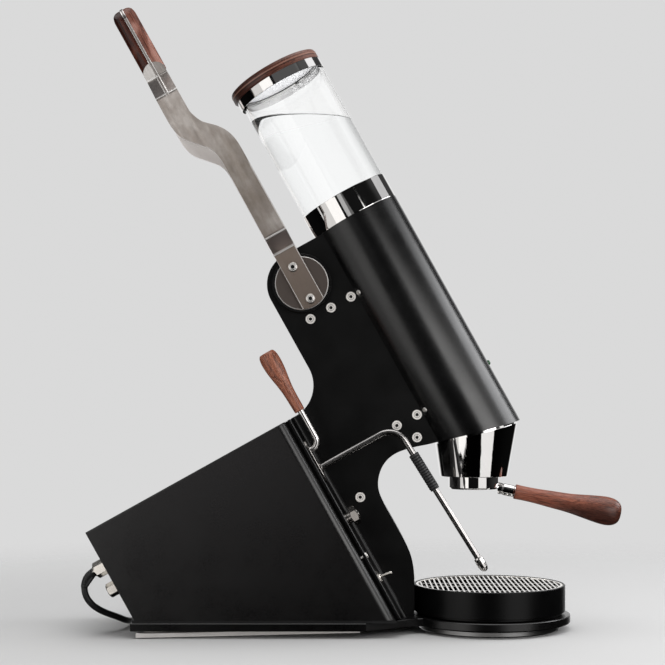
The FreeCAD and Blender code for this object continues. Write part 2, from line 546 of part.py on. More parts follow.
cap.translate(V(LID_SLIP, 0, 0))
put("tank_lid_cap", axial(cap))
lid = revolve([(0, LID_Q0), (LID_R - 1.2, LID_Q0), (LID_R, LID_Q0 + 1.2), (LID_R, LID_Q1 - 3.2), (LID_R - 0.9, LID_Q1 - 0.9), (LID_R - 3.2, LID_Q1), (0, LID_Q1)])
lid.translate(V(LID_SLIP + WOOD_OFF, 0, 0))
put("tank_lid_wood", axial(lid))

# ---------------------------------------------------------------- lever mechanism
def gear_face(z, m, pa_deg, backlash, hole):
    """Involute gear outline about the origin in the XZ plane, tooth space towards +X."""
    rp = m * z / 2.0
    rb = rp * math.cos(math.radians(pa_deg))
    ra, rf = rp + m, rp - 1.25 * m
    inv = lambda a: math.tan(a) - a
    half = math.pi / (2 * z) - backlash / (2 * rp) + inv(math.radians(pa_deg))
    flank = []
    for i in range(7):
        r = max(rb, rf) + (ra - max(rb, rf)) * i / 6.0
        al = math.acos(min(1.0, rb / r))
        flank.append((r, half - inv(al)))
    pts = []
    for k in range(z):
        c = 2 * math.pi * (k + 0.5) / z
        if rf < rb:
            pts.append((rf, c - flank[0][1]))
        for r, a in flank:
            pts.append((r, c - a))
        for r, a in reversed(flank):
            pts.append((r, c + a))
        if rf < rb:
            pts.append((rf, c + flank[0][1]))
    vv = [V(r * math.cos(a), 0, r * math.sin(a)) for r, a in pts]
    f = Part.Face(Part.makePolygon(vv + [vv[0]]))
    return f


gf = gear_face(GEAR_Z, GEAR_M, GEAR_PA, 0.5, SHAFT_R)
gear = gf.extrude(V(0, 16, 0))
gear.Placement = FreeCAD.Placement(V(PIV_P, -8, PIV_Q), FreeCAD.Rotation())
gear = gear.cut(cyl(SHAFT_R, V(PIV_P, -20, PIV_Q), V(0, 1, 0), 40))
put("pinion", tilt(gear))
sh = cyl(SHAFT_R, V(PIV_P, -36, PIV_Q), V(0, 1, 0), 72)
put("pivot_shaft", tilt(sh))

hubs = []
for s in (-1, 1):
    h = revolve([(SHAFT_R, 31.2), (HUB_R, 31.2), (HUB_R, 35.2), (HUB_R - 0.8, 36), (SHAFT_R, 36)], V(PIV_P, 0, PIV_Q), V(0, s, 0))
    hubs.append(tilt(h))
put("lever_hubs", Part.makeCompound(hubs))
pv = []
for s in (-1, 1):
    h = revolve([(SHAFT_BORE, 22.6), (12.0, 22.6), (12.0, SPINE_Y), (32.0, SPINE_Y), (32.0, 34.9), (31.4, 35.5), (29.3, 35.5), (29.3, 30.8), (SHAFT_BORE, 30.8)],
                V(PIV_P, 0, PIV_Q), V(0, s, 0))
    pv.append(tilt(h))
put("pivot_housings", Part.makeCompound(pv))

# rack: pitch line at PIV_P + PINION_R, teeth towards the pinion, tooth centred on the pinion's axis line
RP = PIV_P + PINION_R
pitch = math.pi * GEAR_M
tp = math.tan(math.radians(GEAR_PA))
rk = [(RP + 11, -132.0), (RP + 11, -4.2)]
top_y, bot_y = -4.2, -132.0
teeth = []
k_hi = int(math.floor((top_y - 3.2 - PIV_Q) / pitch))
for k in range(k_hi, -3, -1):
    c = PIV_Q + k * pitch
    h_root = pitch / 4 - 0.25 + 1.25 * GEAR_M * tp
    h_tip = pitch / 4 - 0.25 - GEAR_M * tp
    teeth.append((c + h_root, RP + 1.25 * GEAR_M))
    teeth.append((c + h_tip, RP - GEAR_M))
    teeth.append((c - h_tip, RP - GEAR_M))
    teeth.append((c - h_root, RP + 1.25 * GEAR_M))
rk = [(RP + 11, bot_y), (RP + 11, top_y), (RP + 1.25 * GEAR_M, top_y)] + [(x, q) for q, x in teeth] + [(RP + 1.25 * GEAR_M, bot_y)]
put("rack", tilt(prism(rk, -7, 7)))
BP = BARREL_P
cr = box(RP + 11, 8, -6, 6, -126, -112).fuse(cyl(12, V(BP, 0, -130), V(0, 0, 1), 20)).fuse(cyl(6, V(BP, 0, -192), V(0, 0, 1), 70))
put("piston_rod", tilt(cr.removeSplitter()))
pi = revolve([(6, -205), (28.4, -205), (28.97, -204.4), (28.97, -200.5), (27.4, -200.0), (27.4, -197.0), (28.97, -196.5), (28.97, -190.6), (28.4, -190), (6, -190)])
pi = pi.fuse(cyl(6.2, V(0, 0, -205), V(0, 0, 1), 13))
pi = pi.cut(cyl(6.0, V(0, 0, -192), V(0, 0, 1), 10))
put("piston", axial(pi))


# ---------------------------------------------------------------- lever
def offset_line(pts, d):
    out = []
    n = len(pts)
    for i in range(n):
        if i == 0:
            t = (pts[1][0] - pts[0][0], pts[1][1] - pts[0][1])
            L_ = math.hypot(*t)
            nn = (-t[1] / L_, t[0] / L_)
            out.append((pts[0][0] + nn[0] * d, pts[0][1] + nn[1] * d))
            continue
        if i == n - 1:
            t = (pts[-1][0] - pts[-2][0], pts[-1][1] - pts[-2][1])
            L_ = math.hypot(*t)
            nn = (-t[1] / L_, t[0] / L_)
            out.append((pts[-1][0] + nn[0] * d, pts[-1][1] + nn[1] * d))
            continue
        t1 = (pts[i][0] - pts[i - 1][0], pts[i][1] - pts[i - 1][1])
        t2 = (pts[i + 1][0] - pts[i][0], pts[i + 1][1] - pts[i][1])
        l1, l2 = math.hypot(*t1), math.hypot(*t2)
        n1 = (-t1[1] / l1, t1[0] / l1)
        n2 = (-t2[1] / l2, t2[0] / l2)
        bx, by = n1[0] + n2[0], n1[1] + n2[1]
        k = d / (1 + n1[0] * n2[0] + n1[1] * n2[1])
        out.append((pts[i][0] + bx * k, pts[i][1] + by * k))
    return out


ARM_LINE = [(-72, 38.0), (4.6, 38.0), (21.8, 58.0), (206.5, 58.0), (236.4, 19.0), (262, 19.0)]   # (q, |Y|)


def bar_profile(line, t, x0, x1):
    """Bent flat bar: the line (q, |Y|) thickened by t, extruded along p."""
    a = offset_line(line, t / 2.0)
    b_ = offset_line(line, -t / 2.0)
    pts = [V(x0, y, q) for q, y in a + b_[::-1]]
    s = Part.Face(Part.makePolygon(pts + [pts[0]])).extrude(V(x1 - x0, 0, 0))
    inner_corner, outer_corner = [], []
    for e in s.Edges:
        if e.BoundBox.XLength < 10:
            continue
        m = e.BoundBox.Center
        for k in range(1, len(line) - 1):
            for side, pl in ((0, a), (1, b_)):
                if abs(m.y - pl[k][1]) < 0.01 and abs(m.z - pl[k][0]) < 0.01:
                    t1 = (line[k][0] - line[k - 1][0], line[k][1] - line[k - 1][1])
                    t2 = (line[k + 1][0] - line[k][0], line[k + 1][1] - line[k][1])
                    cross = t1[0] * t2[1] - t1[1] * t2[0]
                    inside = (cross > 0) == (side == 0)
                    (inner_corner if inside else outer_corner).append(e)
    s = s.makeFillet(2.0, inner_corner)
    outer2 = []
    for e in s.Edges:
        if e.BoundBox.XLength < 10:
            continue
        m = e.BoundBox.Center
        for o in outer_corner:
            c = o.BoundBox.Center
            if abs(m.y - c.y) < 0.01 and abs(m.z - c.z) < 0.01:
                outer2.append(e)
    return s.makeFillet(2.0 + t * 0.9, outer2)


def arm_outline(y):
    e = []
    r_ = 28.2
    lx, rx = -100.0, -74.4
    ql = PIV_Q - math.sqrt(r_ ** 2 - (lx - PIV_P) ** 2)
    qr = PIV_Q - math.sqrt(r_ ** 2 - (rx - PIV_P) ** 2)
    e.append(Part.Arc(V(lx, y, ql), V(PIV_P, y, PIV_Q - r_), V(rx, y, qr)).toShape())
    rt = [(-74.0, 116), (-75.2, 132), (-80.5, 145.5), (-89.5, 156.0), (-97.5, 164.5), (-102, 175), (-103.2, 192)]
    e.append(Part.makeLine(V(rx, y, qr), V(rt[0][0], y, rt[0][1])))
    c = Part.BSplineCurve()
    c.interpolate(Points=[V(a, y, b_) for a, b_ in rt], InitialTangent=V(0, 0, 1), FinalTangent=V(0, 0, 1))
    e.append(c.toShape())
    e.append(Part.makeLine(V(rt[-1][0], y, rt[-1][1]), V(-103.2, y, 245.6)))
    e.append(Part.Arc(V(-103.2, y, 245.6), V(-115.6, y, 254.2), V(-128.0, y, 245.6)).toShape())
    lt = [(-128.6, 188), (-128.0, 172), (-124.5, 159.5), (-117, 149.5), (-108, 139.5), (-101, 129), (-98.8, 118), (-98.6, 104)]
    e.append(Part.makeLine(V(-128.0, y, 245.6), V(lt[0][0], y, lt[0][1])))
    c = Part.BSplineCurve()
    c.interpolate(Points=[V(a, y, b_) for a, b_ in lt], InitialTangent=V(0, 0, -1), FinalTangent=V(0, 0, -1))
    e.append(c.toShape())
    e.append(Part.makeLine(V(lt[-1][0], y, lt[-1][1]), V(lx, y, ql)))
    return Part.Face(Part.Wire(e))


def arm(sign):
    line = [(q, sign * y) for q, y in ARM_LINE]
    bar = bar_profile(line, ARM_T, -150, -60)
    out = arm_outline(-70).extrude(V(0, 140, 0))
    s = bar.common(out)
    # narrow rib that carries the tang's line down over the bend
    rl = [(q, sign * y) for q, y in ((204.5, 59.2), (207.6, 59.2), (236.6, 21.0), (262, 21.0))]
    a = offset_line(rl, 1.0)
    b_ = offset_line(rl, -1.0)
    pts = [V(TANG_P0, y, q) for q, y in a + b_[::-1]]
    rib = Part.Face(Part.makePolygon(pts + [pts[0]])).extrude(V(TANG_P1 - TANG_P0, 0, 0))

    def on_top(ed):
        c = ed.BoundBox.Center
        if ed.BoundBox.XLength > 0.01 or ed.Length < 4:
            return False
        run = 21.0 if c.z > 236.6 else (21.0 + 38.2 * (236.6 - c.z) / 29.0 if c.z > 207.6 else 59.2)
        return abs(c.y) > run + 0.3
    rib = chamfer_if(rib, 0.4, on_top).common(out)
    s = s.fuse(rib)
    for q in (PIV_Q + 19.4, PIV_Q - 19.4):
        s = s.cut(cyl(3.1, V(PIV_P, sign * 30, q), V(0, sign, 0), 20))
    return tilt(s)


put("lever_arm_near", arm(-1))
put("lever_arm_far", arm(1))


def grip_blank(p0, p1):
    """One wooden scale: the part of the rounded handle between p0 and p1."""
    w, hy = 12.9, 16.8
    pc = -115.0
    e = [Part.makeLine(V(pc + w, -40, 248), V(pc + w, -40, 312.0)),
         Part.Arc(V(pc + w, -40, 312.0), V(pc, -40, 324.6), V(pc - w, -40, 312.0)).toShape(),
         Part.makeLine(V(pc - w, -40, 312.0), V(pc - w, -40, 248)),
         Part.makeLine(V(pc - w, -40, 248), V(pc + w, -40, 248))]
    a = Part.Face(Part.Wire(e)).extrude(V(0, 80, 0))
    e = [Part.makeLine(V(-150, hy, 240), V(-150, hy, 309.0)),
         Part.Arc(V(-150, hy, 309.0), V(-150, 0, 324.6), V(-150, -hy, 309.0)).toShape(),
         Part.makeLine(V(-150, -hy, 309.0), V(-150, -hy, 240)),
         Part.makeLine(V(-150, -hy, 240), V(-150, hy, 240))]
    b_ = Part.Face(Part.Wire(e)).extrude(V(80, 0, 0))
    c = box(pc - w, pc + w, -hy, hy, 230, 340)
    c = fillet_if(c, 9.5, lambda ed: ed.BoundBox.ZLength > 50)
    return a.common(b_).common(c).common(box(p0, p1, -40, 40, 248, 340))


put("lever_grip_front", tilt(grip_blank(TANG_P1, -95)))
put("lever_grip_rear", tilt(grip_blank(-135, TANG_P0)))
tg = box(TANG_P0, TANG_P1, -16.95, 16.95, 238.5, 258.5)
e = [Part.makeLine(V(TANG_P0, 17.6, 258.5), V(TANG_P0, 17.6, 310.5)),
     Part.Arc(V(TANG_P0, 17.6, 310.5), V(TANG_P0, 0, 325.6), V(TANG_P0, -17.6, 310.5)).toShape(),
     Part.makeLine(V(TANG_P0, -17.6, 310.5), V(TANG_P0, -17.6, 258.5)),
     Part.makeLine(V(TANG_P0, -17.6, 258.5), V(TANG_P0, 17.6, 258.5))]
tg = tg.fuse(Part.Face(Part.Wire(e)).extrude(V(TANG_P1 - TANG_P0, 0, 0)))
tg = tg.removeSplitter()
tg = chamfer_if(tg, 0.5, lambda ed: abs(abs(ed.BoundBox.Center.y) - 17.6) < 0.01 and ed.BoundBox.YLength < 0.01 and ed.BoundBox.ZLength > 40)
put("lever_tang", tilt(tg))
ls = []
for s in (-1, 1):
    for q in (PIV_Q + 19.4, PIV_Q - 19.4):
        g = revolve([(0, 31.4), (3.0, 31.4), (3.0, 40.0), (5.4, 40.0), (5.4, 41.4), (4.4, 42.9), (2.6, 43.4), (0, 43.5)], V(PIV_P, 0, q), V(0, s, 0))
        ls.append(tilt(g.cut(hexsock(4.0, 3.0, V(PIV_P, s * 41.2, q), V(0, s, 0)))))
put("lever_screws", Part.makeCompound(ls))
# the hubs are drilled for the same screws
hub_cut = []
for i, s in enumerate((-1, 1)):
    h = hubs[i]
    for q in (PIV_Q + 19.4, PIV_Q - 19.4):
        h = h.cut(tilt(cyl(3.0, V(PIV_P, s * 31.3, q), V(0, s, 0), 10)))
    hub_cut.append(h)
put("lever_hubs", Part.makeCompound(hub_cut))

# ---------------------------------------------------------------- steam valve lever
ROD_P, KNOB_P = -154.9, -155.7
rw = bent([(-186, FIT_Y, VALVE_Q), (ROD_P, FIT_Y, VALVE_Q), (ROD_P, FIT_Y, -150)], 10.0)
rod = tube(rw, ROD_R)
put("steam_lever_rod", tilt(rod))
KN = [(0, 0), (5.1, 0), (5.6, 0.9), (5.8, 7), (6.1, 19), (6.6, 27), (7.5, 34), (8.6, 41), (9.7, 48.5), (10.3, 55), (10.45, 61), (10.0, 66.2), (9.0, 69.6), (7.5, 71.4), (0, 71.6)]
knob = revolve(KN, V(KNOB_P, FIT_Y, -155.8), V(-0.0227, 0, 0.99974), spline=(2, 13))
knob = knob.cut(cyl(ROD_R, V(ROD_P, FIT_Y, -160), V(0, 0, 1), 10))
put("steam_lever_knob", tilt(knob))

# ---------------------------------------------------------------- steam wand
WP = -74.2
wd = V(0.0485, 0, -0.9988)
WE = V(WP, FIT_Y, -220.6)        # start of the down-going length, whose pieces are measured from here
ww = bent([(-186, FIT_Y, WAND_Q), tuple(WE - wd * ((WAND_Q + 220.6) / 0.9988)), tuple(WE + wd * 170.5)], 20.0)
put("wand_tube", tilt(tube(ww, WAND_R)))
gr = []
pr = [(WAND_R, 34.0), (5.0, 34.0)]
n = 14
for i in range(n):
    a0 = 34.6 + i * (42.2 / n)
    pr += [(5.4, a0 + 0.3), (5.4, a0 + 2.2), (4.95, a0 + 2.5)]
pr += [(4.95, 78.0), (WAND_R, 78.0)]
grip = revolve(pr, WE, wd)
put("wand_grip", tilt(grip))
tip = revolve([(WAND_R, 163.5), (4.4, 163.5), (4.9, 165.0), (5.0, 171.0), (4.6, 175.5), (3.4, 178.6), (1.4, 180.0), (0, 180.2), (0, 171.0), (WAND_R, 171.0)], WE, wd)
put("wand_tip", tilt(tip))
ESC_R, ESC_Q, ESC_P = 12.5, -224.0, -165.9
esc = box(FACE_P + 0.05, ESC_P, FIT_Y - ESC_R, FIT_Y + ESC_R, ESC_Q, VALVE_Q)
for q in (VALVE_Q, ESC_Q):
    esc = esc.fuse(cyl(ESC_R, V(FACE_P + 0.05, FIT_Y, q), V(1, 0, 0), ESC_P - FACE_P - 0.05))
esc = esc.removeSplitter()
esc = chamfer_if(esc, 0.5, lambda e: e.BoundBox.XMin > ESC_P - 0.01)
esc = chamfer_if(esc, 0.35, lambda e: e.BoundBox.XMax < FACE_P + 0.06)
esc = esc.fuse(revolve([(0, ESC_P - 1.0), (5.8, ESC_P - 1.0), (5.8, ESC_P + 1.2), (5.2, ESC_P + 1.8), (0, ESC_P + 1.8)], V(0, FIT_Y, WAND_Q), V(1, 0, 0)))
esc = esc.cut(cyl(ROD_R + 0.3, V(-190, FIT_Y, VALVE_Q), V(1, 0, 0), 40)).cut(cyl(WAND_R + 0.08, V(-190, FIT_Y, WAND_Q), V(1, 0, 0), 40))
put("valve_escutcheon", tilt(esc))

# ---------------------------------------------------------------- front fittings
HEX_P = -162.4
rl_ = cyl(6.0, V(-184, FIT_Y, HEX_Q), V(1, 0, 0), 184 + HEX_P + 0.5)
rl_ = rl_.fuse(revolve([(0, 0), (6.9, 0), (6.9, 2.0), (6.3, 2.6), (0, 2.6)], V(FACE_P + 0.02, FIT_Y, HEX_Q), V(1, 0, 0)))
hx = hexagon(18.0, V(HEX_P, FIT_Y, HEX_Q), V(1, 0, 0), 7.2)
rc = 18.0 / math.sqrt(3.0)
hx = hx.common(revolve([(0, 0), (rc - 1.3, 0), (rc, 0.9), (rc, 8), (0, 8)], V(HEX_P, FIT_Y, HEX_Q), V(1, 0, 0)))
rl_ = rl_.fuse(hx).fuse(revolve([(0, 7), (5.4, 7), (5.4, 8.2), (4.8, 8.8), (0, 8.8)], V(HEX_P, FIT_Y, HEX_Q), V(1, 0, 0)))
rl_ = rl_.cut(cyl(2.9, V(HEX_P + 2.5, FIT_Y, HEX_Q), V(1, 0, 0), 20))
put("relief_fitting", tilt(rl_))
TPIV = -167.0
tb = hexagon(13.0, V(FACE_P, FIT_Y, TOG_Q), V(1, 0, 0), 2.2).fuse(cyl(5.8, V(-175, FIT_Y, TOG_Q), V(1, 0, 0), 8)).fuse(cyl(3.6, V(-170, FIT_Y, TOG_Q), V(1, 0, 0), 4.8))
tb = tb.fuse(box(-196, -174.6, FIT_Y - 6.5, FIT_Y + 6.5, TOG_Q - 10, TOG_Q + 10))
tb = tb.cut(cyl(2.6, V(-169.6, FIT_Y, TOG_Q), V(1, 0, 0), 12))
put("toggle_body", tilt(tb))
TDEG = 9.0
td = V(math.cos(math.radians(-TDEG)), 0, math.sin(math.radians(-TDEG)))
bat = revolve([(0, -1.6), (1.2, -1.6), (1.25, 2.0), (1.5, 5.0), (1.75, 9.0), (1.95, 11.6), (1.75, 12.8), (0.95, 13.5), (0, 13.6)], V(TPIV, FIT_Y, TOG_Q), td)
bat = bat.fuse(cyl(0.9, V(TPIV, FIT_Y - 2.4, TOG_Q), V(0, 1, 0), 4.8))
put("toggle_lever", tilt(bat))

# ---------------------------------------------------------------- drip tray
tr = revolve([(0, PLATE_Z1 + 0.1), (78.8, PLATE_Z1 + 0.1), (79.8, PLATE_Z1 + 1.0), (79.8, 19.3), (TRAY_R, 20.0), (TRAY_R, 47.6), (TRAY_R - 0.7, 48.3), (80.6, 48.3), (80.6, 45.4), (76.8, 45.4), (76.8, 43.2),
              (80.2, 41.0), (80.2, 22.0), (0, 20.0)], V(TRAY_X, 0, 0))
put("drip_tray", tr)
GR = 80.2
gz0, gz1 = 45.5, 47.9
ringg = cyl(GR, V(TRAY_X, 0, gz0), V(0, 0, 1), gz1 - gz0).cut(cyl(GR - 2.6, V(TRAY_X, 0, gz0 - 1), V(0, 0, 1), 5))
bars = []
WIRE_PITCH, WIRE_R = 5.3, 0.95
for i in range(-14, 15):
    d_ = i * WIRE_PITCH
    hl = math.sqrt((GR - 1.4) ** 2 - d_ ** 2)
    bars.append(cyl(WIRE_R, V(TRAY_X + d_, -hl, gz1 - WIRE_R), V(0, 1, 0), 2 * hl))
for d_ in (-52.0, -13.0, 13.0, 52.0):
    hl = math.sqrt((GR - 1.4) ** 2 - d_ ** 2)
    bars.append(box(TRAY_X - hl, TRAY_X + hl, d_ - 1.1, d_ + 1.1, gz0, gz0 + 1.3))
put("drip_grid", ringg.multiFuse(bars))

# ---------------------------------------------------------------- rear fittings and the mains lead
GY, GQ, GL = -50.0, -199.0, 19.0
gl = hexagon(15.5, V(HOUSE_P0, GY, GQ), V(-1, 0, 0), 16.6).fuse(cyl(6.4, V(HOUSE_P0 + 14, GY, GQ), V(-1, 0, 0), 16))
gl = gl.fuse(revolve([(0, 15), (5.8, 15), (5.8, 17.4), (4.8, GL), (0, GL)], V(HOUSE_P0, GY, GQ), V(-1, 0, 0)))
gl = gl.cut(cyl(3.5, V(HOUSE_P0 - GL - 5, GY, GQ), V(1, 0, 0), 9))
put("cord_gland", tilt(gl))
dp = hexagon(14.0, V(HOUSE_P0, GY, -224.5), V(-1, 0, 0), 15.0).fuse(cyl(5.5, V(HOUSE_P0 + 10, GY, -224.5), V(-1, 0, 0), 12))
put("drain_plug", tilt(dp))

EX = W(HOUSE_P0 - GL + 4, GY, GQ)
CC = (-158.0, 138.0)            # middle of the put-away coil
ROUTE = [(EX.x, EX.y, EX.z), (-275.6, -50, 62.1), (-281.6, -50, 52.6), (-282.0, -50, 40.4), (-274.3, -46.5, 28.2), (-259.8, -36, 17.8), (-246, -15, 10.0),
         (-238.5, 14, 3.5), (-236, 50, 3.5), (-230, 88, 3.5), (-212, 116, 3.5), (-200.0, 138, 3.5)]
radii = []
cw = rounded_route(ROUTE, radii)
print("cord radii (r, turn, run):", radii, "length", round(cw.Length, 1))
cord = tube(cw, CORD_D / 2)
print("cord volume ratio", round(cord.Volume / (math.pi * CORD_D ** 2 / 4 * cw.Length), 4))
put("power_cord", cord)
coil = revolve([(31.4, 0), (45.6, 0), (45.6, 20.8), (31.4, 20.8)], V(CC[0], CC[1], 0))
coil = fillet_if(coil, 2.6, lambda e: True)
put("cord_coil", coil)
PX0, PY, PZ = CC[0] + 24.6, CC[1] + 38.5, 18.8
mp = revolve([(0, 0), (4.6, 0), (5.2, 8), (6.4, 18), (8.2, 27), (12.5, 30), (16.5, 36), (18.4, 42), (18.4, 60), (17.6, 63), (0, 63)], V(PX0, PY, PZ), V(1, 0, 0))
for s in (-1, 1):
    mp = mp.fuse(revolve([(0, 62), (2.4, 62), (2.4, 80.6), (1.4, 82), (0, 82)], V(PX0, PY + s * 9.5, PZ), V(1, 0, 0)))
    mp = mp.cut(box(PX0 + 44, PX0 + 70, PY - 2.5, PY + 2.5, PZ + s * 17.0 - 2.0, PZ + s * 17.0 + 2.0))
put("mains_plug", mp)

# ---------------------------------------------------------------- output
lo, hi = [1e9] * 3, [-1e9] * 3
CORD = ("power_cord", "cord_coil", "mains_plug")
for name, s in nodes.items():
    s = s.copy()
    s.translate(V(-SHIFT_X, 0, 0))
    bb = s.BoundBox
    ok = s.isValid()
    print("%-22s solids %2d faces %4d valid %s vol %10.1f  X %7.1f..%7.1f Y %7.1f..%7.1f Z %7.1f..%7.1f" % (
        name, len(s.Solids), len(s.Faces), ok, s.Volume, bb.XMin, bb.XMax, bb.YMin, bb.YMax, bb.ZMin, bb.ZMax))
    if name not in CORD:
        for i, (a, b_) in enumerate(((bb.XMin, bb.XMax), (bb.YMin, bb.YMax), (bb.ZMin, bb.ZMax))):
            lo[i], hi[i] = min(lo[i], a), max(hi[i], b_)
    s.exportStep("parts/%s.step" % name)
print("nodes", len(nodes), "box", [round(v, 2) for v in lo], [round(v, 2) for v in hi])
print("add to SHIFT_X:", round((lo[0] + hi[0]) / 2, 3))
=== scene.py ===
import bpy
import bmesh
import json
import math
from mathutils import Matrix, Vector

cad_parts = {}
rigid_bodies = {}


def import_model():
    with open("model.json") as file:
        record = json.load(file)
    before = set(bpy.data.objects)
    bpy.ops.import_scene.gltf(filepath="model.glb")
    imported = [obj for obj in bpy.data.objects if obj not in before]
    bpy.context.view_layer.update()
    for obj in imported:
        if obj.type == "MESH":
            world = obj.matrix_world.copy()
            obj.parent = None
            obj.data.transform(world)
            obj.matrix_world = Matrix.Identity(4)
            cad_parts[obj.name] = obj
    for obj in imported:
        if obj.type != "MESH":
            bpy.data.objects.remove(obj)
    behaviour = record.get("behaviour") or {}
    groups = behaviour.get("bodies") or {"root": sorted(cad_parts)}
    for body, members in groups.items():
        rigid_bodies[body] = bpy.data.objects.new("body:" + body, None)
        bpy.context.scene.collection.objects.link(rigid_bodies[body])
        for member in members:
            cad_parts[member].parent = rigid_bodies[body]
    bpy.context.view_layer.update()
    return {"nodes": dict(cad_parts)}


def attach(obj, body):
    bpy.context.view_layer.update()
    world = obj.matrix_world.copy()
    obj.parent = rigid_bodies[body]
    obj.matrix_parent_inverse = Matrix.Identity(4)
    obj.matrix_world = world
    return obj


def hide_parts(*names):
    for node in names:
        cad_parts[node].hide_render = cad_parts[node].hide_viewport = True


for old in list(bpy.data.objects):
    bpy.data.objects.remove(old)

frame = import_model()
NODES = frame["nodes"]
scene = bpy.context.scene
scene.view_settings.view_transform = "Standard"
scene.view_settings.look = "None"
scene.view_settings.exposure = 0.0
scene.view_settings.gamma = 1.0

# ---------------------------------------------------------------- frame of the leaning barrel
MM = 0.001
SHIFT_X = 15.974
TILT = math.radians(29.1)
CT, ST = 0.8738, 0.4863
AX, AZ = 12.3, 450.1
A_DIR = Vector((-ST, 0, CT))      # up the barrel
U_DIR = Vector((CT, 0, ST))       # across it, to the front


def P(x, y, z):
    """millimetres before the row's shift -> metres in the row frame"""
    return Vector(((x - SHIFT_X) * MM, y * MM, z * MM))


def W(p, y, q):
    return P(AX + p * CT - q * ST, y, AZ + p * ST + q * CT)


# ---------------------------------------------------------------- camera
cam_data = bpy.data.cameras.new("camera")
cam = bpy.data.objects.new("camera", cam_data)
scene.collection.objects.link(cam)
scene.camera = cam
cam.location = P(0, -1683, 250)
cam.rotation_euler = (math.radians(90), 0, 0)
cam_data.sensor_width = 36.0
cam_data.lens = 36.0 * 1530.0 / 665.0
cam_data.shift_x = -12.5 / 665.0
cam_data.shift_y = 67.5 / 665.0
cam_data.clip_start = 0.05
cam_data.clip_end = 60.0
cam_data.dof.use_dof = False


# ---------------------------------------------------------------- helpers for materials
ALONG = (0, -TILT, 0)             # grain and brush strokes along the barrel


class Mat:
    """a node material with one Principled shader"""

    def __init__(self, name, **sockets):
        self.m = bpy.data.materials.new(name)
        self.m.use_nodes = True
        self.nt = self.m.node_tree
        self.nt.nodes.clear()
        self.out = self.nt.nodes.new("ShaderNodeOutputMaterial")
        self.bsdf = self.nt.nodes.new("ShaderNodeBsdfPrincipled")
        self.nt.links.new(self.bsdf.outputs[0], self.out.inputs[0])
        self.tc = self.nt.nodes.new("ShaderNodeTexCoord")
        for k, v in sockets.items():
            self.set(k.replace("_", " "), v)

    def set(self, socket, value):
        s = self.bsdf.inputs[socket]
        if isinstance(value, bpy.types.NodeSocket):
            self.nt.links.new(value, s)
        else:
            if s.type == "RGBA" and len(value) == 3:
                value = (*value, 1.0)
            s.default_value = value

    def node(self, kind, props=None, **ins):
        n = self.nt.nodes.new("ShaderNode" + kind)
        for k, v in (props or {}).items():
            setattr(n, k, v)
        for k, v in ins.items():
            key = int(k[1:]) if k[0] == "i" and k[1:].isdigit() else k.replace("_", " ")
            s = n.inputs[key]
            if isinstance(v, bpy.types.NodeSocket):
                self.nt.links.new(v, s)
            else:
                if s.type == "RGBA" and len(v) == 3:
                    v = (*v, 1.0)
                s.default_value = v
        return n

    def coord(self, size=(0.001, 0.001, 0.001), rot=(0, 0, 0), loc=(0, 0, 0)):
        """object coordinates in a turned frame, in units of a feature's size"""
        n = self.node("Mapping", {"vector_type": "TEXTURE"}, Vector=self.tc.outputs["Object"])
        n.inputs["Location"].default_value = loc
        n.inputs["Rotation"].default_value = rot
        n.inputs["Scale"].default_value = size
        return n.outputs[0]

    def noise(self, vec, detail=2.0, rough=0.5, distortion=0.0, scale=1.0):
        n = self.node("TexNoise", None, Vector=vec, Scale=scale, Detail=detail, Roughness=rough, Distortion=distortion)
        return n.outputs["Fac"]

    def ramp(self, fac, stops, interp="LINEAR"):
        n = self.node("ValToRGB", None, Fac=fac)
        n.color_ramp.interpolation = interp
        el = n.color_ramp.elements
        while len(el) > 1:
            el.remove(el[-1])
        el[0].position, el[0].color = stops[0][0], (*stops[0][1], 1.0)
        for pos, col in stops[1:]:
            e = el.new(pos)
            e.color = (*col, 1.0)
        return n.outputs["Color"]

    def range(self, fac, a, b, c, d):
        n = self.node("MapRange", None, Value=fac)
        for i, v in zip(("From Min", "From Max", "To Min", "To Max"), (a, b, c, d)):
            n.inputs[i].default_value = v
        return n.outputs[0]

    def math(self, op, a, b=0.0, c=0.0):
        n = self.node("Math", {"operation": op}, i0=a, i1=b, i2=c)
        return n.outputs[0]

    def mix(self, fac, a, b, blend="MIX"):
        n = self.nt.nodes.new("ShaderNodeMix")
        n.data_type = "RGBA"
        n.blend_type = blend
        for key, v in ((0, fac), (6, a), (7, b)):
            s = n.inputs[key]
            if isinstance(v, bpy.types.NodeSocket):
                self.nt.links.new(v, s)
            else:
                if s.type == "RGBA" and len(v) == 3:
                    v = (*v, 1.0)
                s.default_value = v
        return n.outputs[2]

    def bump(self, height, strength=0.2, distance=0.0002, normal=None):
        n = self.node("Bump", None, Height=height, Strength=strength, Distance=distance)
        if normal is not None:
            self.nt.links.new(normal, n.inputs["Normal"])
        return n.outputs[0]

    def edge_wear(self):
        """0 on faces, rising on sharp outer edges"""
        g = self.node("NewGeometry")
        return self.range(g.outputs["Pointiness"], 0.53, 0.62, 0.0, 1.0)


